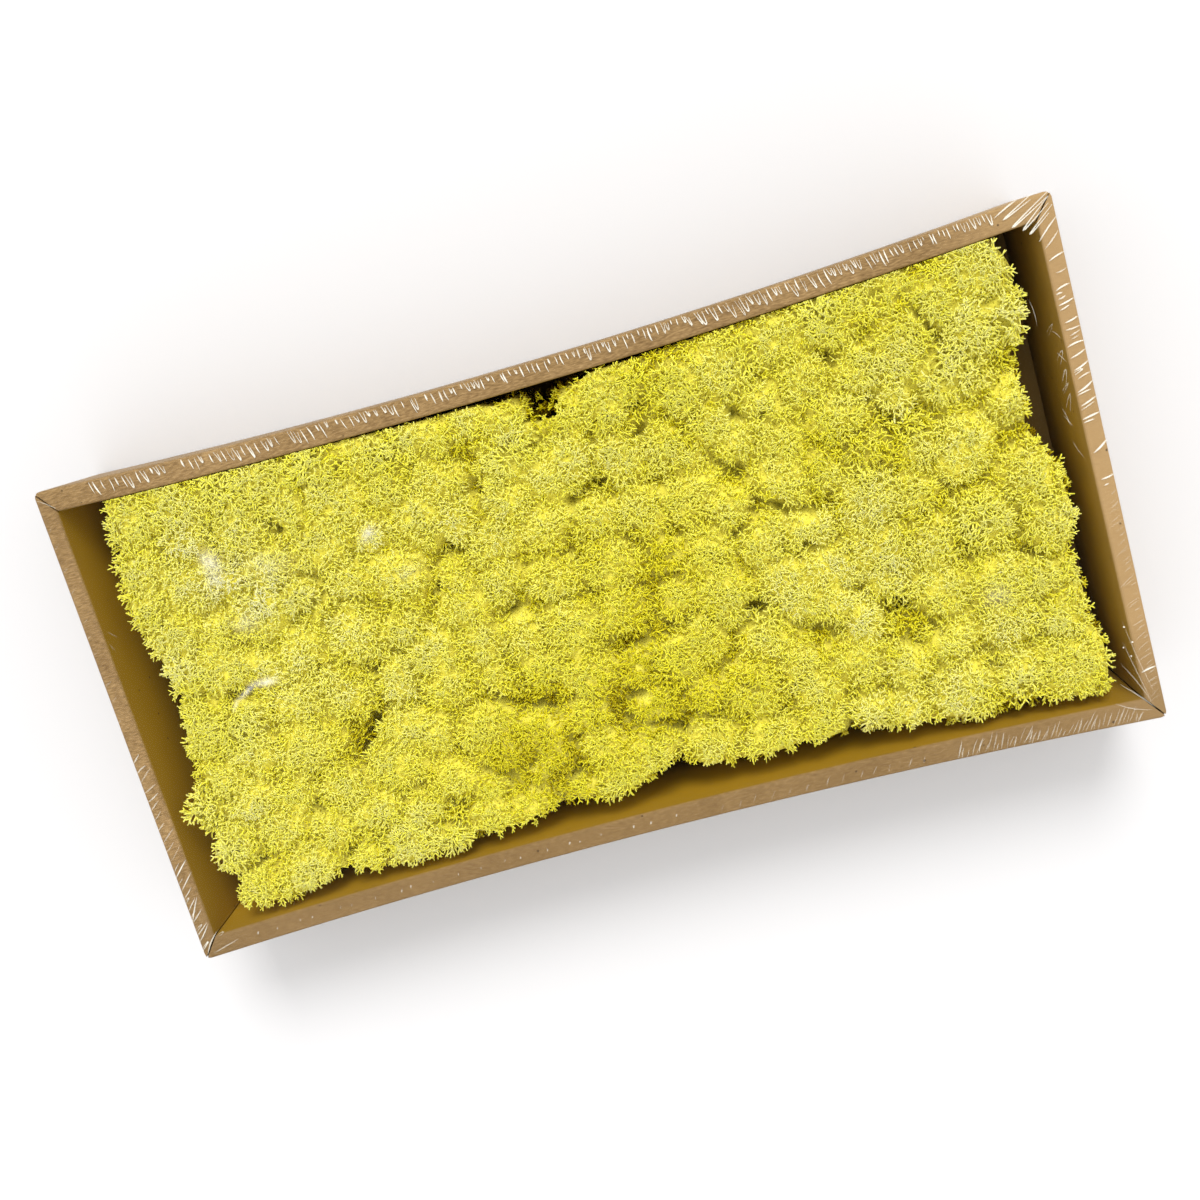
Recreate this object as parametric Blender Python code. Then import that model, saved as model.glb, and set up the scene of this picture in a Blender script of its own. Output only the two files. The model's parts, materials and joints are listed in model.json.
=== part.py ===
"""Reindeer moss clump lying in a kraft board tray under clear shrink film.

Units are metres and +Z is up. The tray's long sides run along X. The origin is
at the centre of the flat underside that the pack rests on.
"""

import math

import bmesh
import bpy
from mathutils import Vector
from mathutils.kdtree import KDTree

MM = 0.001

# Clear film around the tray. It is far thinner in reality, and this is the
# thinnest skin that still makes a sound solid.
FILM_THICKNESS = 0.2 * MM
FILM_CLEARANCE = 0.3 * MM
FILM_FOLD_RADIUS = 0.8 * MM
FILM_LIP_WIDTH = 16.0 * MM
FILM_WRAP = FILM_THICKNESS + FILM_CLEARANCE

# Outside of the whole pack, and of the tray inside its film.
PACK_LENGTH = 400.0 * MM
PACK_WIDTH = 204.4 * MM
PACK_HEIGHT = 60.0 * MM
TRAY_LENGTH = PACK_LENGTH - 2 * FILM_WRAP
TRAY_WIDTH = PACK_WIDTH - 2 * FILM_WRAP

# The tray is one blank of kraft board. Each wall goes up, over a flat rim and
# down again inside, so it is double with a narrow hollow between its panels.
BOARD_THICKNESS = 1.5 * MM
TRAY_UNDERSIDE = FILM_WRAP
BASE_TOP = TRAY_UNDERSIDE + BOARD_THICKNESS
RIM_TOP = PACK_HEIGHT - FILM_WRAP
END_RIM_WIDTH = 7.0 * MM
SIDE_RIM_WIDTH = 9.0 * MM
FOLD_RADIUS = 1.1 * MM
INNER_PANEL_GAP = 0.5 * MM
OUTER_CORNER_RADIUS = 2.5 * MM
INNER_CORNER_RADIUS = 0.6 * MM
MITRE_SLIT_WIDTH = 0.6 * MM
MITRE_OVERRUN = 3.0 * MM

# The taut film draws both long walls in towards the middle of their length.
SIDE_WALL_BOW = 6.2 * MM

LONG_SIDE_STEPS = 14
END_STEPS = 2
CORNER_STEPS = 3
FOLD_STEPS = 3

# The clump lies on the tray's base and stops short of the film.
CLUMP_UNDERSIDE = BASE_TOP + 0.3 * MM
CLUMP_CREST = 58.4 * MM
CLUMP_VALLEY = 50.0 * MM
CLUMP_SPINE_HALF = 95.0 * MM
CLUMP_OUTLINE_STEPS = 2

# Outline of the clump in millimetres, anticlockwise from the right end of the
# front side, at the bulges and the dents between them.
CLUMP_OUTLINE_MM = (
    (184, -89), (187, -66), (182.5, -55), (184.5, -46), (181.5, -30), (187, -16),
    (184.5, 5), (178.5, 20), (178, 46), (184, 56), (183, 78), (176, 90),
    (160, 90), (136, 88), (112, 86.5), (88, 85), (64, 84), (40, 83), (22, 82.5),
    (10, 77), (-8, 77), (-22, 82.5), (-42, 83), (-66, 84), (-90, 85), (-114, 86.5),
    (-138, 88), (-158, 90), (-173, 89), (-178, 78), (-183, 64), (-183.5, 42),
    (-180, 24), (-175.5, 6), (-181.5, -12), (-181, -26), (-189, -40), (-181.5, -54),
    (-184.5, -62), (-178, -72), (-182, -82), (-166, -89), (-148, -88), (-134, -83),
    (-118, -86), (-98, -87), (-76, -83), (-54, -83.5), (-40, -79), (-18, -81),
    (2, -78), (13, -73), (28, -81), (58, -80.5), (82, -80), (100, -83), (118, -86),
    (134, -88), (154, -86.5), (170, -89.5),
)

# Sections of the clump from the underside up over its shoulder: the share of
# the outline's reach from the spine, and the height above the origin.
CLUMP_SIDE_SECTIONS = (
    (0.975, CLUMP_UNDERSIDE),
    (0.995, 12.0 * MM),
    (1.0, 36.0 * MM),
    (0.99, 44.0 * MM),
)
CLUMP_TOP_SHARES = (0.965, 0.91, 0.83, 0.74, 0.64, 0.54, 0.44, 0.34, 0.24, 0.14, 0.05)
CLUMP_SHOULDER_DROP = 5.0 * MM

# Middles of the larger cushions on the clump's top, in millimetres.
CUSHION_RADIUS = 24.0 * MM
CUSHIONS_MM = (
    (-166, 76), (-162, 44), (-158, 14), (-162, -14), (-168, -42), (-162, -76),
    (-136, 70), (-128, 40), (-132, 8), (-130, -22), (-136, -54), (-112, -72),
    (-104, 60), (-98, 24), (-96, -8), (-92, -44), (-84, -72), (-72, 66),
    (-66, 34), (-62, 2), (-60, -32), (-54, -66), (-40, 56), (-32, 24), (-30, -4),
    (-26, -46), (-10, 66), (4, 34), (0, 4), (2, -30), (-8, -70), (26, 74),
    (36, 44), (32, 14), (40, -12), (26, -46), (30, -70), (62, 66), (72, 38),
    (62, 14), (76, -8), (60, -42), (64, -70), (92, 70), (100, 50), (94, 8),
    (92, -32), (96, -66), (118, 78), (124, 52), (112, 4), (120, -26), (128, -70),
    (154, 76), (148, 50), (146, 18), (150, -12), (146, -40), (166, 0), (168, -28),
    (168, -74), (170, 34),
)


def clear_scene():
    """Remove every object, so that the model starts from nothing."""
    for item in list(bpy.data.objects):
        bpy.data.objects.remove(item, do_unlink=True)


def principled(name, color, roughness, alpha=1.0):
    """Make a non-metallic surface of one colour.

    Args:
        name: name of the material.
        color: linear red, green and blue.
        roughness: 0 for polished to 1 for dull.
        alpha: 1 for opaque, less for see-through.

    Returns:
        The material.
    """
    material = bpy.data.materials.new(name)
    material.use_nodes = True
    shader = material.node_tree.nodes["Principled BSDF"]
    shader.inputs["Base Color"].default_value = (*color, 1.0)
    shader.inputs["Roughness"].default_value = roughness
    shader.inputs["Metallic"].default_value = 0.0
    shader.inputs["Alpha"].default_value = alpha
    return material


def finished_object(name, mesh, material, sharp_angle_deg):
    """Link a finished bmesh into the scene as one named piece.

    Args:
        name: name of the piece.
        mesh: bmesh of one closed body, which is freed.
        material: material of the piece.
        sharp_angle_deg: edges sharper than this stay crisp.

    Returns:
        The object.
    """
    bmesh.ops.recalc_face_normals(mesh, faces=mesh.faces)
    data = bpy.data.meshes.new(name)
    mesh.to_mesh(data)
    mesh.free()
    data.materials.append(material)
    data.shade_smooth()
    data.set_sharp_from_angle(angle=math.radians(sharp_angle_deg))
    item = bpy.data.objects.new(name, data)
    bpy.context.collection.objects.link(item)
    return item


def stacked_rings(rings):
    """Join equal rings of points into one closed body with flat ends.

    Args:
        rings: lists of points, each list of the same length, in order.

    Returns:
        The bmesh.
    """
    mesh = bmesh.new()
    layers = [[mesh.verts.new(point) for point in ring] for ring in rings]
    count = len(layers[0])
    for lower, upper in zip(layers, layers[1:]):
        for index in range(count):
            after = (index + 1) % count
            mesh.faces.new((lower[index], lower[after], upper[after], upper[index]))
    caps = [mesh.faces.new(reversed(layers[0])), mesh.faces.new(layers[-1])]
    bmesh.ops.triangulate(mesh, faces=caps)
    return mesh


def bowed(x, y):
    """Draw a point in towards the middle, as the film draws the long walls."""
    share = 1.0 - (2.0 * x / TRAY_LENGTH) ** 2
    return y * (1.0 - share * SIDE_WALL_BOW / (TRAY_WIDTH / 2))


def wall_ring(end_inset, side_inset, height):
    """Outline of the tray at one depth into its walls.

    Args:
        end_inset: distance in from the outside of the short end walls.
        side_inset: distance in from the outside of the long side walls.
        height: height above the origin.

    Returns:
        Points anticlockwise, with rounded corners and bowed long sides.
    """
    half_x = TRAY_LENGTH / 2 - end_inset
    half_y = TRAY_WIDTH / 2 - side_inset
    radius = max(OUTER_CORNER_RADIUS - end_inset, INNER_CORNER_RADIUS)
    corners = ((1, 1), (-1, 1), (-1, -1), (1, -1))
    flat = []
    for quarter, (side_x, side_y) in enumerate(corners):
        centre = (side_x * (half_x - radius), side_y * (half_y - radius))
        for step in range(CORNER_STEPS + 1):
            angle = (quarter + step / CORNER_STEPS) * math.pi / 2
            flat.append((centre[0] + radius * math.cos(angle), centre[1] + radius * math.sin(angle)))
        start = flat[-1]
        next_x, next_y = corners[(quarter + 1) % 4]
        turn = (quarter + 1) * math.pi / 2
        stop = (
            next_x * (half_x - radius) + radius * math.cos(turn),
            next_y * (half_y - radius) + radius * math.sin(turn),
        )
        steps = LONG_SIDE_STEPS if quarter % 2 == 0 else END_STEPS
        for step in range(1, steps):
            share = step / steps
            flat.append((start[0] + (stop[0] - start[0]) * share, start[1] + (stop[1] - start[1]) * share))
    return [Vector((x, bowed(x, y), height)) for x, y in flat]


def fold(end_inset, side_inset, height, radius, start_deg, stop_deg):
    """Stations of a rounded fold in the walls' section.

    Args:
        end_inset: inset of the fold's centre at the end walls.
        side_inset: inset of the fold's centre at the side walls.
        height: height of the fold's centre.
        radius: radius of the fold.
        start_deg: first angle, with 0 pointing inwards and 90 up.
        stop_deg: last angle.

    Returns:
        List of end inset, side inset and height.
    """
    stations = []
    for step in range(FOLD_STEPS + 1):
        angle = math.radians(start_deg + (stop_deg - start_deg) * step / FOLD_STEPS)
        inward = radius * math.cos(angle)
        stations.append((end_inset + inward, side_inset + inward, height + radius * math.sin(angle)))
    return stations


def mitre_cutters():
    """Thin solids that slit the rim and the inner wall at the four corners.

    Returns:
        One hidden guide object that holds all four.
    """
    diagonal = Vector((END_RIM_WIDTH, SIDE_RIM_WIDTH, 0.0))
    rim_reach = diagonal.length
    below_rim = RIM_TOP - BOARD_THICKNESS - INNER_PANEL_GAP
    above_base = BASE_TOP + INNER_PANEL_GAP / 2
    above_rim = RIM_TOP + MITRE_OVERRUN
    section = (
        (-MITRE_OVERRUN, below_rim),
        (rim_reach - MITRE_OVERRUN, below_rim),
        (rim_reach - MITRE_OVERRUN, above_base),
        (rim_reach + MITRE_OVERRUN, above_base),
        (rim_reach + MITRE_OVERRUN, above_rim),
        (-MITRE_OVERRUN, above_rim),
    )
    mesh = bmesh.new()
    for side_x in (-1, 1):
        for side_y in (-1, 1):
            corner = Vector((side_x * TRAY_LENGTH / 2, side_y * TRAY_WIDTH / 2, 0.0))
            inward = Vector((-side_x * diagonal.x, -side_y * diagonal.y, 0.0)).normalized()
            across = Vector((-inward.y, inward.x, 0.0)) * MITRE_SLIT_WIDTH / 2
            outline = [corner + inward * reach + Vector((0.0, 0.0, height)) for reach, height in section]
            faces = []
            for offset in (-across, across):
                faces.append([mesh.verts.new(point + offset) for point in outline])
            for index in range(len(section)):
                after = (index + 1) % len(section)
                mesh.faces.new((faces[0][index], faces[0][after], faces[1][after], faces[1][index]))
            mesh.faces.new(faces[1])
            mesh.faces.new(reversed(faces[0]))
    bmesh.ops.recalc_face_normals(mesh, faces=mesh.faces)
    data = bpy.data.meshes.new("mitre_cutters")
    mesh.to_mesh(data)
    mesh.free()
    item = bpy.data.objects.new("mitre_cutters", data)
    bpy.context.collection.objects.link(item)
    item.hide_render = True
    item.display_type = "WIRE"
    return item


def build_kraft_tray():
    """Fold the tray: base, outer walls, flat rims and inner walls.

    The inner walls end just above the base, so the hollow of the double wall
    is open there and at the slit corners.
    """
    hidden_end = END_RIM_WIDTH - BOARD_THICKNESS
    hidden_side = SIDE_RIM_WIDTH - BOARD_THICKNESS
    panel_foot = BASE_TOP + INNER_PANEL_GAP
    rim_underside = RIM_TOP - BOARD_THICKNESS
    stations = fold(FOLD_RADIUS, FOLD_RADIUS, TRAY_UNDERSIDE + FOLD_RADIUS, FOLD_RADIUS, 270, 180)
    stations += fold(FOLD_RADIUS, FOLD_RADIUS, RIM_TOP - FOLD_RADIUS, FOLD_RADIUS, 180, 90)
    inner_end = END_RIM_WIDTH - FOLD_RADIUS
    inner_side = SIDE_RIM_WIDTH - FOLD_RADIUS
    stations += fold(inner_end, inner_side, RIM_TOP - FOLD_RADIUS, FOLD_RADIUS, 90, 0)
    stations += [
        (END_RIM_WIDTH, SIDE_RIM_WIDTH, panel_foot),
        (hidden_end, hidden_side, panel_foot),
        (hidden_end, hidden_side, rim_underside),
        (BOARD_THICKNESS, BOARD_THICKNESS, rim_underside),
        (BOARD_THICKNESS, BOARD_THICKNESS, BASE_TOP),
    ]
    mesh = stacked_rings([wall_ring(*station) for station in stations])
    kraft = principled("kraft_board", (0.45, 0.29, 0.16), 0.75)
    tray = finished_object("kraft_tray", mesh, kraft, 40)
    slits = tray.modifiers.new("mitre_slits", "BOOLEAN")
    slits.operation = "DIFFERENCE"
    slits.solver = "EXACT"
    slits.object = mitre_cutters()
    return tray


def build_shrink_film():
    """Draw the film over the rim, down the walls and in under the base.

    Its underside is open inside the lip, so the skin seals nothing off.
    """
    outer = -FILM_WRAP
    inner = -FILM_CLEARANCE
    outer_fold = outer + FILM_FOLD_RADIUS
    inner_radius = FILM_FOLD_RADIUS - FILM_THICKNESS
    top_fold = PACK_HEIGHT - FILM_FOLD_RADIUS
    stations = fold(outer_fold, outer_fold, top_fold, FILM_FOLD_RADIUS, 90, 180)
    stations += [
        (outer, outer, 0.0),
        (FILM_LIP_WIDTH, FILM_LIP_WIDTH, 0.0),
        (FILM_LIP_WIDTH, FILM_LIP_WIDTH, FILM_THICKNESS),
        (inner, inner, FILM_THICKNESS),
    ]
    stations += fold(outer_fold, outer_fold, top_fold, inner_radius, 180, 90)
    mesh = stacked_rings([wall_ring(*station) for station in stations])
    film = principled("clear_film", (0.9, 0.9, 0.9), 0.08, alpha=0.12)
    return finished_object("shrink_film", mesh, film, 30)


def smooth_outline(corners, steps):
    """Run a smooth closed curve through the outline's corners.

    Args:
        corners: points as x and y in millimetres.
        steps: points per corner on the curve.

    Returns:
        Points as x and y in metres.
    """
    points = [Vector(corner) * MM for corner in corners]
    count = len(points)
    curve = []
    for index in range(count):
        before, start, stop, after = (points[(index + offset) % count] for offset in (-1, 0, 1, 2))
        for step in range(steps):
            share = step / steps
            bend = (
                2 * start
                + (stop - before) * share
                + (2 * before - 5 * start + 4 * stop - after) * share**2
                + (3 * start - before - 3 * stop + after) * share**3
            )
            curve.append(bend / 2)
    return curve


def clump_height(x, y, cushions):
    """Height of the clump's top, domed over each cushion and low between them."""
    nearest = cushions.find((x, y, 0.0))[2]
    dome = max(0.0, 1.0 - (nearest / CUSHION_RADIUS) ** 2)
    return CLUMP_VALLEY + (CLUMP_CREST - CLUMP_VALLEY) * math.sqrt(dome)


def build_moss_clump():
    """Pile the moss: a low rounded block with a lobed edge and a cushioned top."""
    outline = smooth_outline(CLUMP_OUTLINE_MM, CLUMP_OUTLINE_STEPS)
    spine = [Vector((max(-CLUMP_SPINE_HALF, min(CLUMP_SPINE_HALF, point.x)), 0.0)) for point in outline]
    cushions = KDTree(len(CUSHIONS_MM))
    for index, (x, y) in enumerate(CUSHIONS_MM):
        cushions.insert((x * MM, y * MM, 0.0), index)
    cushions.balance()
    rings = []
    for share, height in CLUMP_SIDE_SECTIONS:
        flat = [middle + (point - middle) * share for middle, point in zip(spine, outline)]
        rings.append([Vector((point.x, point.y, height)) for point in flat])
    for order, share in enumerate(CLUMP_TOP_SHARES):
        flat = [middle + (point - middle) * share for middle, point in zip(spine, outline)]
        drop = CLUMP_SHOULDER_DROP if order == 0 else 0.0
        rings.append([Vector((p.x, p.y, clump_height(p.x, p.y, cushions) - drop)) for p in flat])
    mesh = stacked_rings(rings)
    moss = principled("reindeer_moss", (0.72, 0.66, 0.07), 0.9)
    return finished_object("moss_clump", mesh, moss, 70)


def main():
    """Build the three pieces where they lie in the pack."""
    clear_scene()
    build_kraft_tray()
    build_moss_clump()
    build_shrink_film()


main()
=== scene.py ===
"""Reindeer moss in a kraft board tray under clear shrink film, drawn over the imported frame.

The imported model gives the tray, the clump and the film at their real size. This script keeps the
tray and gives it its board finish. It draws the lichen as a mat of branchlets in place of the plain
clump, and the drawn film, with the pleats along its folds, in place of the plain skin.

Sizes are in millimetres unless a name says otherwise, and meshes are turned to metres once, where
they are made.
"""

from __future__ import annotations

import json
import logging
import math
from dataclasses import dataclass, field
from enum import Enum
from typing import Any, Sequence

import bpy
import numpy as np
from mathutils import Matrix, Vector
from mathutils.bvhtree import BVHTree

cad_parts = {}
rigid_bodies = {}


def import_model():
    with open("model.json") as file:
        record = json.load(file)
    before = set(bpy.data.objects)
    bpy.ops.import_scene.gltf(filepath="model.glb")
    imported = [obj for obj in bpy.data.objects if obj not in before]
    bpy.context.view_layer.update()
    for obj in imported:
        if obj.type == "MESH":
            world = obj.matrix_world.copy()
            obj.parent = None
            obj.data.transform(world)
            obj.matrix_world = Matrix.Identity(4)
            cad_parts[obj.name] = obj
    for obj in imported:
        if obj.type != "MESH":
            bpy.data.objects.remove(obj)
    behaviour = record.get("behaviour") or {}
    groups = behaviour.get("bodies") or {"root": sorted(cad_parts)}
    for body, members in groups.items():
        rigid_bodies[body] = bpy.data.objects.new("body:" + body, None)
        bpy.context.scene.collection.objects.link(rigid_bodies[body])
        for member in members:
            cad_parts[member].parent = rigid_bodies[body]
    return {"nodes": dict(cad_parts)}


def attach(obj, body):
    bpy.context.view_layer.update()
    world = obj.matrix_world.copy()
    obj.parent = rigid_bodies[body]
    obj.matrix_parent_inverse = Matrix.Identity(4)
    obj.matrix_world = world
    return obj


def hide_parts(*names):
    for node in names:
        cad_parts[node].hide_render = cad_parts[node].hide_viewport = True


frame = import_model()

MM = 0.001
BODY = "root"
LOG = logging.getLogger("moss_tray")
UP = np.array([0.0, 0.0, 1.0])


class Node(str, Enum):
    """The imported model's nodes, by name."""

    MOSS = "moss_clump"
    TRAY = "kraft_tray"
    FILM = "shrink_film"


class Slot(str, Enum):
    """The record's material slots, by name."""

    MOSS = "reindeer_moss"
    BOARD = "kraft_board"
    FILM = "clear_film"


def linear(hex_colour: str) -> tuple[float, float, float, float]:
    """Turns an sRGB hex colour to the linear one that shaders use.

    Args:
        hex_colour: Six hex digits after a hash, such as "#c8a878".

    Returns:
        Red, green, blue and a full alpha.
    """
    parts = [int(hex_colour[i : i + 2], 16) / 255 for i in (1, 3, 5)]
    red, green, blue = (c / 12.92 if c <= 0.04045 else ((c + 0.055) / 1.055) ** 2.4 for c in parts)
    return red, green, blue, 1.0


def add_node(
    tree: bpy.types.NodeTree,
    kind: str,
    settings: dict[str | int, Any] | None = None,
    links: dict[str | int, bpy.types.NodeSocket] | None = None,
    stops: Sequence[tuple[float, str]] = (),
) -> bpy.types.Node:
    """Adds a shader node with its settings and links.

    Args:
        tree: The node tree that the node goes in.
        kind: Blender's name for the node's type.
        settings: Values for the node's own properties or, where it has none of that name, its inputs.
        links: Sockets of other nodes, by the input that each one feeds.
        stops: Place and hex colour of each stop, for a colour ramp.

    Returns:
        The new node.
    """
    node = tree.nodes.new(kind)
    for name, value in (settings or {}).items():
        if isinstance(name, str) and hasattr(node, name):
            setattr(node, name, value)
        else:
            node.inputs[name].default_value = value
    for name, source in (links or {}).items():
        tree.links.new(source, node.inputs[name])
    for index, (place, colour) in enumerate(stops):
        ramp = node.color_ramp
        stop = ramp.elements[index] if index < 2 else ramp.elements.new(place)
        stop.position = place
        stop.color = linear(colour)
    return node


def blank_material(name: str) -> tuple[bpy.types.Material, bpy.types.NodeTree]:
    """Makes a node material with nothing in it.

    Args:
        name: The material's name.

    Returns:
        The material and its empty node tree.
    """
    material = bpy.data.materials.new(name)
    material.use_nodes = True
    material.node_tree.nodes.clear()
    return material, material.node_tree


def soft_noise(x: np.ndarray, y: np.ndarray, size: float, seed: int) -> np.ndarray:
    """Smooth random lumps over the plane.

    Args:
        x: Places along the tray.
        y: Places across the tray.
        size: Width of one lump, in the same units as x and y.
        seed: Which of the many patterns to give.

    Returns:
        A value from -1 to 1 for each place.
    """
    table = np.random.default_rng(seed).uniform(-1.0, 1.0, (256, 256))
    u, v = x / size + 64.0, y / size + 64.0
    i, j = np.floor(u).astype(int), np.floor(v).astype(int)
    f, g = u - i, v - j
    f, g = f * f * (3 - 2 * f), g * g * (3 - 2 * g)
    i, j, i1, j1 = i % 256, j % 256, (i + 1) % 256, (j + 1) % 256
    low = table[i, j] * (1 - f) + table[i1, j] * f
    high = table[i, j1] * (1 - f) + table[i1, j1] * f
    return low * (1 - g) + high * g


def unit(vectors: np.ndarray) -> np.ndarray:
    """Gives vectors a length of one."""
    return vectors / np.maximum(np.linalg.norm(vectors, axis=-1, keepdims=True), 1e-9)


def soft_cap(values: np.ndarray, limit: float, softness: float) -> np.ndarray:
    """Holds values under a limit, with a soft bend towards it.

    Args:
        values: Any numbers.
        limit: What none of them may pass.
        softness: How far below the limit the bend begins.

    Returns:
        The capped values.
    """
    over = np.maximum(values - (limit - softness), 0.0)
    return np.minimum(values, limit - softness) + softness * np.tanh(over / softness)


def grid_cells(number: np.ndarray) -> np.ndarray:
    """The four corners of each cell of a grid of numbered points."""
    return np.stack([number[:-1, :-1], number[1:, :-1], number[1:, 1:], number[:-1, 1:]], -1)


def mesh_object(
    name: str, points: np.ndarray, faces: np.ndarray, smooth: bool = True
) -> bpy.types.Object:
    """Makes a mesh object from points in millimetres.

    Args:
        name: Name of the object and of its mesh.
        points: One row of x, y, z for each vertex, in millimetres.
        faces: One row of vertex numbers for each face.
        smooth: Whether the faces are shaded smooth.

    Returns:
        The new object, linked to the scene.
    """
    mesh = bpy.data.meshes.new(name)
    mesh.from_pydata(points * MM, [], faces)
    mesh.polygons.foreach_set("use_smooth", np.full(len(faces), smooth))
    mesh.update()
    piece = bpy.data.objects.new(name, mesh)
    bpy.context.scene.collection.objects.link(piece)
    return piece


def store_values(piece: bpy.types.Object, name: str, values: np.ndarray) -> None:
    """Keeps one number for each vertex where a material can read it.

    Args:
        piece: The object whose mesh is given the numbers.
        name: The name that the material reads.
        values: One number for each vertex.
    """
    layer = piece.data.attributes.new(name, "FLOAT", "POINT")
    layer.data.foreach_set("value", values.astype(np.float32))


def place_in_pack(piece: bpy.types.Object, stands_for: Node | None = None) -> None:
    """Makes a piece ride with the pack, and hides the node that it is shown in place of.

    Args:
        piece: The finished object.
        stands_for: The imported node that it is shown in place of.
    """
    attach(piece, BODY)
    if stands_for is not None:
        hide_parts(stands_for.value)


@dataclass(frozen=True)
class StudioFloor:
    """Matt pale grey seamless paper, lit until it reads as white, so that only soft shadows show."""

    paper: str = "#cfcece"
    fibre_mm: float = 1.2
    relief_mm: float = 0.2

    def material(self) -> bpy.types.Material:
        """Makes the paper's material.

        Returns:
            The material.
        """
        material, tree = blank_material("seamless_paper")
        place = add_node(tree, "ShaderNodeTexCoord").outputs["Object"]
        fibres = add_node(
            tree,
            "ShaderNodeTexNoise",
            {"Scale": 1 / (self.fibre_mm * MM), "Detail": 3.0},
            {"Vector": place},
        )
        bump = add_node(
            tree,
            "ShaderNodeBump",
            {"Strength": 0.05, "Distance": self.relief_mm * MM},
            {"Height": fibres.outputs[0]},
        )
        shader = add_node(
            tree,
            "ShaderNodeBsdfPrincipled",
            {"Base Color": linear(self.paper), "Roughness": 0.9, "Specular IOR Level": 0.1},
            {"Normal": bump.outputs["Normal"]},
        )
        add_node(tree, "ShaderNodeOutputMaterial", links={"Surface": shader.outputs[0]})
        return material


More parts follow.
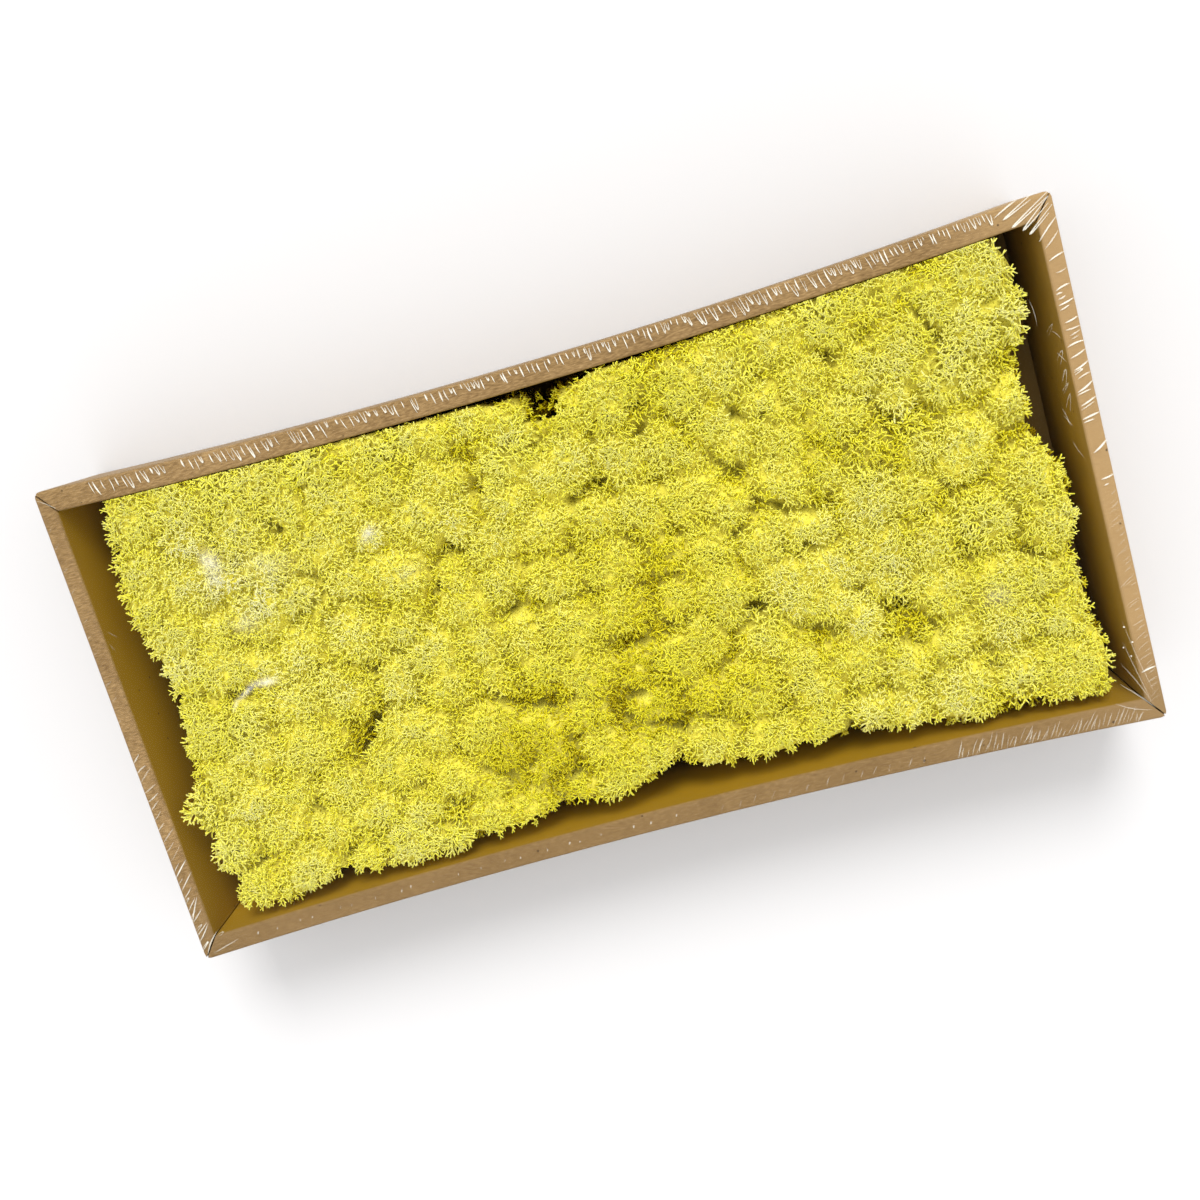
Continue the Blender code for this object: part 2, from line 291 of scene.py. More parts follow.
@dataclass(frozen=True)
class KraftBoard:
    """Unbleached kraft board, creased and folded: brown, matt and faintly fibrous.

    Long wood fibres give it fine specks and streaks. Painted light makes the board a little paler at
    the right end, and painted shade makes it darker along the near side. The inner walls are painted
    olive brown, going deeper yellow with depth, as painted yellow light bounced from the lichen, and
    painted shade darkens their foot. The fibres are drawn about twice as wide as real ones.
    """

    board: str = "#836841"
    light_fibre: str = "#9d8055"
    dark_fibre: str = "#684f2e"
    # Painted bounce light from the lichen on the inner walls, then painted shade at their foot.
    wall: str = "#906e09"
    deep: str = "#b28a0c"
    foot: str = "#4c3807"
    speck: str = "#3a2a18"
    # Painted light at the board's right end, and painted shade along its near side.
    painted_light_end: str = "#a3855a"
    painted_shade_side: str = "#6d5532"
    fibre_length_mm: float = 2.4
    fibre_width_mm: float = 0.6
    cloud_mm: float = 50 / 3
    speck_spacing_mm: float = 9.0
    relief_mm: float = 0.12
    roughness: float = 0.82

    def material(self, rim_top_mm: float, inside_mm: tuple[float, float, float]) -> bpy.types.Material:
        """Makes the board's material.

        Args:
            rim_top_mm: Height of the rim, below which the inner walls are painted light and shade.
            inside_mm: Half the length and half the width of what counts as the tray's inside, to
                the middle of its walls, and how far the long walls bow in.

        Returns:
            The material.
        """
        material, tree = blank_material("unbleached_kraft_board")
        place = add_node(tree, "ShaderNodeTexCoord").outputs["Object"]
        spot = add_node(tree, "ShaderNodeSeparateXYZ", links={0: place}).outputs
        fibres = self._fibres(tree, place)
        plain = self._plain(tree, place, spot, fibres)
        # Painted bounce light and shade on the inner walls, laid over the bare board.
        share, wall_light_and_shade = self._painted_walls(tree, spot, rim_top_mm, inside_mm)
        painted_walls_over_board = add_node(tree, "ShaderNodeMix", {"data_type": "RGBA"}, {0: share, 6: plain, 7: wall_light_and_shade})
        bark = add_node(
            tree,
            "ShaderNodeTexVoronoi",
            {"Scale": 1 / (self.speck_spacing_mm * MM)},
            {"Vector": place},
        )
        # A speck is dark out to 4 % of the spacing between specks, and gone at 7 %.
        flecked = self._tinted(
            tree, painted_walls_over_board.outputs[2], ((bark.outputs["Distance"], 0.07, 0.04, 0.8, self.speck),)
        )
        bump = add_node(
            tree,
            "ShaderNodeBump",
            {"Strength": 0.35, "Distance": self.relief_mm * MM},
            {"Height": fibres},
        )
        shader = add_node(
            tree,
            "ShaderNodeBsdfPrincipled",
            {"Roughness": self.roughness, "IOR": 1.47, "Specular IOR Level": 0.25},
            {"Base Color": flecked, "Normal": bump.outputs["Normal"]},
        )
        add_node(tree, "ShaderNodeOutputMaterial", links={"Surface": shader.outputs[0]})
        return material

    def _tinted(
        self,
        tree: bpy.types.NodeTree,
        colour: bpy.types.NodeSocket,
        tints: Sequence[tuple[bpy.types.NodeSocket, float, float, float, str]],
    ) -> bpy.types.NodeSocket:
        """Lays flat tints over a colour, one after another.

        Args:
            tree: The board's node tree.
            colour: The colour that they lie over.
            tints: For each, the value that it follows, where in that value it starts and is in full,
                its share there, and its hex colour.

        Returns:
            The tinted colour.
        """
        for value, start, end, share, tint in tints:
            reach = add_node(
                tree,
                "ShaderNodeMapRange",
                {"From Min": start, "From Max": end, "To Max": share},
                {"Value": value},
            )
            colour = add_node(
                tree,
                "ShaderNodeMix",
                {"data_type": "RGBA", 7: linear(tint)},
                {0: reach.outputs[0], 6: colour},
            ).outputs[2]
        return colour

    def _fibres(self, tree: bpy.types.NodeTree, place: bpy.types.NodeSocket) -> bpy.types.NodeSocket:
        """Draws the long wood fibres.

        Args:
            tree: The board's node tree.
            place: Each point's place on the pack.

        Returns:
            How high on a fibre each point is, from 0 to 1.
        """
        along, across = 1 / (self.fibre_length_mm * MM), 1 / (self.fibre_width_mm * MM)
        grain = add_node(
            tree, "ShaderNodeMapping", {"Scale": (along, across, across)}, {"Vector": place}
        )
        fibres = add_node(
            tree, "ShaderNodeTexNoise", {"Scale": 1.0, "Detail": 4.0}, {"Vector": grain.outputs[0]}
        )
        return fibres.outputs[0]

    def _plain(
        self,
        tree: bpy.types.NodeTree,
        place: bpy.types.NodeSocket,
        spot: bpy.types.NodeOutputs,
        fibres: bpy.types.NodeSocket,
    ) -> bpy.types.NodeSocket:
        """Colours the bare board by its fibres, with painted light at the right end and painted shade
        along the near side.

        Args:
            tree: The board's node tree.
            place: Each point's place on the pack.
            spot: The same place, split to its three numbers.
            fibres: How high on a fibre each point is.

        Returns:
            The bare board's colour.
        """
        cloud = add_node(
            tree,
            "ShaderNodeTexNoise",
            {"Scale": 1 / (self.cloud_mm * MM), "Detail": 3.0},
            {"Vector": place},
        )
        tone = add_node(
            tree,
            "ShaderNodeMath",
            {"operation": "MULTIPLY_ADD", 1: 0.35},
            {0: cloud.outputs[0], 2: fibres},
        )
        colours = add_node(
            tree,
            "ShaderNodeValToRGB",
            links={0: tone.outputs[0]},
            stops=((0.42, self.dark_fibre), (0.92, self.light_fibre), (0.67, self.board)),
        )
        # Painted light towards the right end, and painted shade towards the near side.
        ends = (
            (spot["X"], 150.0 * MM, 193.0 * MM, 0.75, self.painted_light_end),
            (spot["Y"], -60.0 * MM, -92.0 * MM, 0.55, self.painted_shade_side),
        )
        return self._tinted(tree, colours.outputs[0], ends)

    def _painted_walls(
        self,
        tree: bpy.types.NodeTree,
        spot: bpy.types.NodeOutputs,
        rim_top_mm: float,
        inside_mm: tuple[float, float, float],
    ) -> tuple[bpy.types.NodeSocket, bpy.types.NodeSocket]:
        """Paints light and shade on the inner walls, and says where they are.

        Args:
            tree: The board's node tree.
            spot: Each point's place on the pack, split to its three numbers.
            rim_top_mm: Height of the tray's rim.
            inside_mm: Half the length and half the width of the inside, and the long walls' bow.

        Returns:
            How far each point is on an inner wall, from 0 to 1, and its painted light and shade there.
        """
        # From the rim down: where the painted colour begins, goes to the deeper yellow of painted
        # bounce light, and meets the painted shade at its foot.
        below = [
            add_node(
                tree,
                "ShaderNodeMapRange",
                {
                    "From Min": (rim_top_mm - start) * MM,
                    "From Max": (rim_top_mm - end) * MM,
                    "To Max": share,
                },
                {"Value": spot["Z"]},
            ).outputs[0]
            for start, end, share in ((0.3, 1.6, 0.97), (3.0, 22.0, 1.0), (38.0, 56.0, 0.85))
        ]
        wall_light_and_shade = add_node(
            tree,
            "ShaderNodeMix",
            {"data_type": "RGBA", 6: linear(self.wall), 7: linear(self.deep)},
            {0: below[1]},
        )
        footed = add_node(
            tree,
            "ShaderNodeMix",
            {"data_type": "RGBA", 7: linear(self.foot)},
            {0: below[2], 6: wall_light_and_shade.outputs[2]},
        )
        # The long walls bow in towards mid-length, so the limit across the tray follows them.
        half_length, half_width, bow = (size * MM for size in inside_mm)
        along, across = (
            add_node(tree, "ShaderNodeMath", {"operation": "ABSOLUTE"}, {0: spot[axis]}).outputs[0]
            for axis in ("X", "Y")
        )
        squared = add_node(tree, "ShaderNodeMath", {"operation": "MULTIPLY"}, {0: along, 1: along})
        unbowed = add_node(
            tree,
            "ShaderNodeMath",
            {"operation": "MULTIPLY_ADD", 1: -bow / half_length**2},
            {0: squared.outputs[0], 2: across},
        ).outputs[0]
        # The right end wall keeps less of the painted bounce light and shade, and shows more bare board.
        blur, right_end_paint_share = 0.5 * MM, 0.72
        share = below[0]
        for value, start, end, least in (
            (along, half_length + blur, half_length - blur, 0.0),
            (unbowed, half_width - bow + blur, half_width - bow - blur, 0.0),
            (spot["X"], 191.0 * MM, 180.0 * MM, right_end_paint_share),
        ):
            within = add_node(
                tree,
                "ShaderNodeMapRange",
                {"From Min": start, "From Max": end, "To Min": least},
                {"Value": value},
            )
            share = add_node(
                tree,
                "ShaderNodeMath",
                {"operation": "MULTIPLY"},
                {0: share, 1: within.outputs[0]},
            ).outputs[0]
        return share, footed.outputs[2]


@dataclass(frozen=True)
class LichenBranchlets:
    """Dried and softened reindeer lichen: a matt, powdery, yellow-green skin on hollow branchlets.

    The powder makes it as matt as chalk. Light passes a little way through the thin skin, which
    softens the shadows between tips. The tips are the palest, as they are the youngest. Down from the
    crown the stems are darkened to olive and then ochre, partly their own older colour and partly
    painted shade, and the topmost layer is painted a little darker, to hold back its highlights.
    """

    tones: tuple[tuple[float, str], ...] = (
        (0.0, "#b3a212"),
        (1.0, "#f8f3a3"),
        (0.35, "#eadf2e"),
        (0.6, "#f5ed53"),
        (0.8, "#f8f175"),
    )
    # Darker with depth, partly the older stems' colour and partly painted shade; the top stop damps
    # highlights.
    depths: tuple[tuple[float, str], ...] = (
        (0.0, "#eeedea"),
        (1.0, "#97841e"),
        (0.1, "#ffffff"),
        (0.45, "#f6ee9a"),
    )
    powder_mm: float = 0.35
    relief_mm: float = 0.1
    roughness: float = 0.9
    glow: float = 0.56
    glow_reach_mm: float = 0.9

    def material(self) -> bpy.types.Material:
        """Makes the branchlets' material: coloured by tone, and darkened by depth, partly as painted
        shade.

        Returns:
            The material.
        """
        material, tree = blank_material("reindeer_lichen_branchlets")
        tone = add_node(tree, "ShaderNodeAttribute", {"attribute_name": "tone"})
        depth = add_node(tree, "ShaderNodeAttribute", {"attribute_name": "depth"})
        skin = add_node(tree, "ShaderNodeValToRGB", links={0: tone.outputs["Fac"]}, stops=self.tones)
        # Painted shade by depth, laid over the skin's tone.
        shade = add_node(tree, "ShaderNodeValToRGB", links={0: depth.outputs["Fac"]}, stops=self.depths)
        colour = add_node(
            tree,
            "ShaderNodeMix",
            {"data_type": "RGBA", "blend_type": "MULTIPLY", 0: 1.0},
            {6: skin.outputs[0], 7: shade.outputs[0]},
        )
        place = add_node(tree, "ShaderNodeTexCoord").outputs["Object"]
        powder = add_node(
            tree,
            "ShaderNodeTexNoise",
            {"Scale": 1 / (self.powder_mm * MM), "Detail": 2.0},
            {"Vector": place},
        )
        bump = add_node(
            tree,
            "ShaderNodeBump",
            {"Strength": 0.25, "Distance": self.relief_mm * MM},
            {"Height": powder.outputs[0]},
        )
        shader = add_node(
            tree,
            "ShaderNodeBsdfPrincipled",
            {
                "Roughness": self.roughness,
                "IOR": 1.45,
                "Specular IOR Level": 0.05,
                "Subsurface Weight": self.glow,
                "Subsurface Radius": (1.0, 0.95, 0.3),
                "Subsurface Scale": self.glow_reach_mm * MM,
            },
            {"Base Color": colour.outputs[2], "Normal": bump.outputs["Normal"]},
        )
        add_node(tree, "ShaderNodeOutputMaterial", links={"Surface": shader.outputs[0]})
        return material


@dataclass(frozen=True)
class LichenHeart:
    """The clump's matted inside: older stems that show only through the gaps.

    A web of stems with small dark hollows of painted shade, as far apart as the gaps between stems,
    gives the eye a tangle rather than a floor. It is painted darker in the creases, in the hollows
    between cushions and in the loose patches, as painted shade.
    """

    stem: str = "#ebe155"
    # Painted shade: the dark hollows, and the colour of the creases and sagging places.
    hollow_shade: str = "#8a7b14"
    creased: str = "#5f5206"
    gap_mm: float = 1.3
    relief_mm: float = 0.8
    roughness: float = 0.95

    def material(self) -> bpy.types.Material:
        """Makes the matted inside's material.

        Returns:
            The material.
        """
        material, tree = blank_material("matted_lichen_stems")
        place = add_node(tree, "ShaderNodeTexCoord").outputs["Object"]
        cells = add_node(
            tree,
            "ShaderNodeTexVoronoi",
            {"feature": "DISTANCE_TO_EDGE", "Scale": 1 / (self.gap_mm * MM)},
            {"Vector": place},
        )
        colours = add_node(
            tree,
            "ShaderNodeValToRGB",
            links={0: cells.outputs["Distance"]},
            stops=((0.2, self.stem), (0.44, self.hollow_shade)),
        )
        # The painted shade that each point of the heart carries, from 0 to its darkest.
        crease = add_node(tree, "ShaderNodeAttribute", {"attribute_name": "depth"})
        shaded = add_node(
            tree,
            "ShaderNodeMix",
            {"data_type": "RGBA", 7: linear(self.creased)},
            {0: crease.outputs["Fac"], 6: colours.outputs[0]},
        )
        bump = add_node(
            tree,
            "ShaderNodeBump",
            {"Strength": 0.8, "Distance": self.relief_mm * MM, "invert": True},
            {"Height": cells.outputs["Distance"]},
        )
        shader = add_node(
            tree,
            "ShaderNodeBsdfPrincipled",
            {"Roughness": self.roughness, "Specular IOR Level": 0.1},
            {"Base Color": shaded.outputs[2], "Normal": bump.outputs["Normal"]},
        )
        add_node(tree, "ShaderNodeOutputMaterial", links={"Surface": shader.outputs[0]})
        return material


@dataclass(frozen=True)
class ShrinkFilm:
    """Cast polyolefin film, heat shrunk: glass clear and glossy, with painted glints along its pleats.

    How white each point is comes with the mesh: a painted glint on the pleats, and a milky patch at
    the hazes, with a painted sheen at grazing angles. Between them the film is all but unseen.
    """

    # The colour of the painted glints and of the hazes.
    crease: str = "#f8f5e6"
    grazing_alpha: float = 0.3
    roughness: float = 0.08
    ior: float = 1.5

    def material(self) -> bpy.types.Material:
        """Makes the film's material, see-through but for the mesh's painted glints and hazes, and a
        painted sheen at grazing angles.

        Returns:
            The material.
        """
        material, tree = blank_material("clear_shrink_film")
        white = add_node(tree, "ShaderNodeAttribute", {"attribute_name": "whiteness"})
        gloss = add_node(tree, "ShaderNodeLayerWeight", {"Blend": 0.06})
        # Painted sheen: the film is whiter towards grazing angles, in place of its reflection.
        sheen = add_node(
            tree,
            "ShaderNodeMath",
            {"operation": "MULTIPLY", 1: self.grazing_alpha},
            {0: gloss.outputs["Facing"]},
        )
        alpha = add_node(
            tree,
            "ShaderNodeMath",
            {"operation": "MAXIMUM"},
            {0: white.outputs["Fac"], 1: sheen.outputs[0]},
        )
        shader = add_node(
            tree,
            "ShaderNodeBsdfPrincipled",
            {"Base Color": linear(self.crease), "Roughness": self.roughness, "IOR": self.ior},
            {"Alpha": alpha.outputs[0]},
        )
        add_node(tree, "ShaderNodeOutputMaterial", links={"Surface": shader.outputs[0]})
        return material


@dataclass
class KraftTray:
    """The folded tray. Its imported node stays, and only its finish is drawn here."""

    rim_top: float = 59.5
    length: float = 399.0
    width: float = 203.4
    end_rim: float = 7.0
    side_rim: float = 9.0
    side_bow: float = 6.2
    board: KraftBoard = field(default_factory=KraftBoard)

    def dress(self) -> bpy.types.Object:
        """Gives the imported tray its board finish.

        Returns:
            The tray.
        """
        tray = frame["nodes"][Node.TRAY.value]
        wall_middles = (
            self.length / 2 - self.end_rim / 2,
            self.width / 2 - self.side_rim / 2,
            self.side_bow,
        )
        material = self.board.material(self.rim_top, wall_middles)
        for slot in tray.material_slots:
            slot.material = material
        return tray

    def drawn_in(self, x: np.ndarray, y: np.ndarray) -> np.ndarray:
        """Draws a line across the tray in, as the film pulls its long walls.

        Args:
            x: Places along the tray.
            y: Places across it, as if its walls were straight.

        Returns:
            The places across it on the bowed tray.
        """
        belly = 1 - (2 * x / self.length) ** 2
        return y * (1 - belly * self.side_bow / (self.width / 2))

    def inner_half_length(self) -> float:
        """Half the length between the inner end walls."""
        return self.length / 2 - self.end_rim

    def inner_half_width(self, x: np.ndarray) -> np.ndarray:
        """Half the width between the inner side walls at each place along the tray."""
        return self.drawn_in(x, np.full(np.shape(x), self.width / 2 - self.side_rim))


@dataclass(frozen=True)
class Crease:
    """A gap between cushions: its line in millimetres on the tray, and how wide and deep it is."""

    line: tuple[tuple[float, float], ...]
    width: float
    depth: float


CREASES: tuple[Crease, ...] = (
    Crease(((-120, 24), (-112, 28), (-103, 34)), 2.4, 5),
    Crease(((-117, 68), (-110, 62)), 2.4, 5),
    Crease(((-94, -2), (-92, -4)), 2.6, 5),
    Crease(((-100, -22), (-105, -29), (-110, -38)), 3.0, 6),
    Crease(((-60, 22), (-57, 23)), 2.4, 5),
    Crease(((-55, 35), (-48, 36), (-40, 33)), 2.4, 5),
    Crease(((-30, 60), (-32, 48)), 2.4, 5),
    Crease(((-49, 75), (-46, 74)), 2.4, 5),
    Crease(((-34, 7), (-31, 6)), 2.6, 5),
    Crease(((-52, -25), (-40, -33), (-20, -35)), 2.6, 4),
    Crease(((-60, -55), (-50, -57), (-40, -54)), 2.6, 5),
    Crease(((-30, -67), (-26, -66)), 2.4, 5),
    Crease(((-36, -82), (-34, -76)), 2.4, 5),
    Crease(((-134, -52), (-130, -53)), 2.4, 5),
    Crease(((-128, -74), (-124, -73)), 2.4, 5),
    Crease(((-92, -52), (-88, -53)), 2.4, 5),
    Crease(((-82, -72), (-78, -70)), 2.4, 5),
    Crease(((-82, 78), (-78, 79)), 2.4, 5),
    Crease(((-152, 3), (-147, 2)), 2.4, 6),
    Crease(((-168, -70), (-162, -66)), 2.6, 5),
    Crease(((32, 68), (36, 69)), 2.6, 6),
    Crease(((3, 43), (10, 45), (18, 44)), 2.4, 5),
    Crease(((48, 55), (52, 56)), 2.2, 4),
    Crease(((72, 56), (76, 53), (83, 50)), 2.4, 5),
    Crease(((63, 36), (67, 35)), 2.4, 5),
    Crease(((60, 12), (66, 18), (72, 22), (80, 16), (95, 13)), 2.3, 5),
    Crease(((108, 26), (120, 32), (136, 30)), 6.0, 2),
    Crease(((27, 10), (33, 11)), 4.0, 3),
    Crease(((0, -15), (12, -20), (25, -18)), 3.0, 4),
    Crease(((58, -18), (62, -19)), 2.4, 6),
    Crease(((84, 0), (87, -1)), 2.4, 5),
    Crease(((74, -30), (81, -34), (89, -36)), 2.2, 4),
    Crease(((47, -47), (50, -49)), 2.4, 5),
    Crease(((3, -38), (8, -38)), 2.6, 5),
    Crease(((0, -50), (7, -54), (15, -54), (20, -59)), 3.0, 6),
    Crease(((14, -84), (15, -70)), 3.0, 6),
    Crease(((85, -88), (85, -74)), 3.0, 6),
    Crease(((110, -32), (114, -33)), 2.4, 5),
    Crease(((122, -44), (128, -46)), 2.4, 5),
    Crease(((111, -48), (119, -49)), 4.0, 3),
    Crease(((163, -26), (167, -27)), 2.4, 5),
    Crease(((140, -66), (144, -67)), 2.4, 5),
    Crease(((109, 66), (112, 64)), 2.4, 5),
    Crease(((33, 60), (37, 59)), 2.4, 5),
    Crease(((141, 79), (146, 70), (150, 62)), 2.4, 6),
    Crease(((128, 82), (132, 83)), 2.4, 5),
)

CUSHIONS: tuple[tuple[float, float, float], ...] = (
    # Right half, from the far wall to the near one: place along and across the tray, and radius.
    (8, 71, 9), (28, 76, 14), (52, 72, 13), (70, 75, 11), (92, 76, 12), (112, 78, 12), (125, 87, 8),
    (138, 84, 8), (149, 75, 10), (170, 84, 13), (177, 64, 10), (160, 61, 10), (6, 55, 11), (27, 52, 12),
    (45, 50, 8), (61, 56, 10), (82, 55, 9), (98, 60, 10), (118, 60, 12), (135, 62, 10), (68, 45, 9),
    (86, 42, 11), (107, 45, 9), (130, 46, 9), (151, 48, 12), (10, 32, 10), (29, 30, 11), (47, 30, 10),
    (59, 22, 11), (81, 28, 12), (100, 28, 8), (118, 30, 8), (131, 26, 8), (149, 21, 15), (172, 34, 10),
    (8, 12, 10), (30, 12, 9), (47, 8, 9), (69, 7, 9), (86, 7, 10), (110, 9, 12), (128, 8, 12),
    (172, 2, 14), (8, -6, 10), (32, -7, 10), (47, -10, 10), (72, -12, 14), (93, -12, 12),
    (111, -10, 12), (130, -12, 12), (150, -9, 10), (176, -15, 11), (8, -32, 10), (22, -30, 10),
    (38, -26, 9), (61, -33, 10), (76, -22, 8), (87, -26, 9), (97, -35, 8), (129, -29, 13), (112, -22, 9),
    (150, -34, 9), (165, -34, 11), (180, -37, 8), (11, -48, 9), (30, -47, 11), (50, -50, 9),
    (70, -46, 12), (74, -59, 12), (92, -50, 9), (112, -57, 13), (130, -50, 8), (151, -50, 12),
    (172, -52, 12), (6, -66, 10), (28, -69, 12), (50, -71, 11), (72, -72, 10), (92, -73, 10),
    (106, -75, 9), (130, -73, 14), (150, -72, 11), (170, -75, 15), (183, -66, 8),
    # Left half, in the same order.
    (-168, 82, 13), (-148, 80, 13), (-131, 84, 8), (-112, 82, 10), (-90, 82, 10), (-70, 82, 10),
    (-50, 80, 9), (-28, 82, 10), (-12, 74, 9), (-170, 62, 12), (-150, 66, 10), (-128, 66, 12),
    (-108, 68, 9), (-88, 66, 12), (-66, 66, 12), (-46, 63, 12), (-20, 62, 9), (-8, 52, 10),
    (-172, 46, 12), (-156, 48, 10), (-140, 50, 12), (-120, 47, 12), (-98, 52, 12), (-78, 50, 9),
    (-58, 50, 12), (-42, 46, 10), (-22, 47, 8), (-166, 31, 11), (-148, 28, 10), (-128, 32, 13),
    (-110, 29, 9), (-92, 34, 10), (-74, 30, 10), (-50, 25, 10), (-30, 34, 11), (-12, 34, 10),
    (-168, 14, 11), (-150, 14, 10), (-134, 11, 10), (-116, 12, 12), (-95, 13, 10), (-78, 12, 10),
    (-52, 11, 10), (-34, 18, 9), (-14, 13, 10), (-165, -8, 11), (-148, -9, 9), (-128, -7, 13),
    (-108, -8, 9), (-87, -8, 11), (-69, -3, 9), (-50, -4, 9), (-31, -6, 9), (-13, -9, 10),
    (-168, -28, 12), (-150, -24, 9), (-128, -27, 15), (-88, -28, 11), (-66, -18, 10), (-48, -17, 9),
    (-28, -20, 9), (-10, -27, 9), (-179, -40, 10), (-160, -44, 11), (-140, -44, 9), (-118, -47, 12),
    (-96, -42, 12), (-76, -35, 10), (-55, -40, 11), (-37, -45, 9), (-18, -42, 10), (-173, -58, 10),
    (-150, -57, 11), (-128, -62, 10), (-111, -61, 9), (-92, -62, 9), (-77, -54, 9), (-50, -50, 7),
    (-62, -63, 9), (-39, -57, 9), (-14, -58, 10), (-168, -78, 14), (-145, -78, 12), (-122, -79, 10),
    (-100, -77, 12), (-84, -80, 9), (-66, -75, 10), (-48, -77, 10), (-29, -73, 9), (-11, -73, 10),
)

# Loose patches of long, open branchlets: place along and across the tray, and radius.
OPEN_PATCHES: tuple[tuple[float, float, float], ...] = (
    (150, 50, 9), (127, 36, 9), (60, -23, 6), (84, -77, 7), (20, -34, 7), (112, -32, 8), (147, -10, 8),
    (110, 84, 8), (175, 62, 7), (150, -80, 8), (-130, 84, 8), (-62, 78, 8), (-90, 85, 8),
    (-152, -12, 8), (-80, -76, 7), (-15, 66, 8), (-180, -40, 8), (-105, -32, 5), (-172, -60, 6),
    (80, 70, 6),
)

# Patches of another tone: place along and across the tray, radius, and how much paler.
TONE_PATCHES: tuple[tuple[float, float, float, float], ...] = (
    (-138, 50, 11, 0.24), (-126, 37, 12, 0.16), (-78, 50, 8, 0.14), (-150, 68, 8, 0.1),
    (72, -12, 12, 0.08), (150, 50, 9, 0.05), (-130, 8, 10, 0.12), (60, -62, 10, 0.06),
    (30, 10, 7, -0.3), (12, -19, 11, -0.3), (10, -52, 9, -0.26), (50, 53, 6, -0.16),
    (122, 27, 11, -0.26), (101, 36, 10, -0.14), (-28, -28, 12, -0.18), (-50, -48, 10, -0.16),
    (-8, -38, 9, -0.18), (72, -33, 8, -0.16), (50, -47, 8, -0.24), (95, -48, 8, -0.14),
    (149, -37, 6, -0.14), (-32, 52, 6, -0.16), (-105, -30, 7, -0.2), (-38, -70, 9, -0.12),
    (33, -45, 9, -0.14), (0, 80, 9, -0.3), (-70, -25, 12, -0.08), (140, 82, 8, -0.12),
    (35, 34, 10, -0.06), (-20, 2, 12, -0.06),
    # Broad ones: the left, the right and the far right are fresher, and the middle is more olive.
    (-40, -58, 34, -0.36), (15, -40, 26, -0.28), (22, 5, 30, -0.14), (50, -62, 22, -0.08),
    (-150, 40, 42, 0.1), (-80, 30, 30, 0.05), (105, 0, 34, 0.1), (150, 60, 30, 0.05),
    (145, -55, 32, 0.07), (-130, -72, 22, -0.06), (-95, -50, 20, -0.06), (60, 40, 18, -0.05),
)


def in_patches(x: np.ndarray, y: np.ndarray, patches: Sequence[Sequence[float]]) -> np.ndarray:
    """How far each place lies in round patches with soft edges.

    Args:
        x: Places along the tray.
        y: Places across the tray.
        patches: Place along and across the tray, radius and, if not 1, weight of each patch.

    Returns:
        The sum of the patches' weights at each place.
    """
    total = np.zeros_like(x, dtype=float)
    for cx, cy, radius, *weight in patches:
        gap = np.hypot(x - cx, y - cy) / radius
        total += (weight[0] if weight else 1.0) * np.exp(-(gap**2) * 1.3)
    return total


@dataclass(frozen=True)
class Order:
    """One order of branching: how many new branchlets each one bears, and their shape."""

    children: int
    length: float
    spread_degrees: float
    thickness: float


@dataclass(frozen=True)
class Growth:
    """How a plant grows from its root, and how much of that is left to chance.

    A luck of one number is a spread about nought, and a luck of two is the least and most share of
    the usual size. A taper is the end's thickness as a share of the start's.
    """

    stem_length: float = 1.1
    stem_thickness: float = 0.95
    stem_taper: float = 0.9
    branch_taper: float = 0.94
    tip_taper: float = 0.76
    leader_bend: float = 0.62
    upward_pull: float = 0.04
    turn_luck: float = 0.6
    leader_luck: float = 0.35
    spread_luck: tuple[float, float] = (0.7, 1.3)
    length_luck: tuple[float, float] = (0.75, 1.25)
    thickness_luck: tuple[float, float] = (0.88, 1.12)
    vigour_luck: float = 0.08
    plant_tone_luck: float = 0.035
    branch_tone_luck: float = 0.04
    orders: tuple[Order, ...] = (
        Order(3, 1.9, 40.0, 0.86),
        Order(2, 1.9, 44.0, 0.78),
        Order(2, 1.7, 44.0, 0.7),
    )


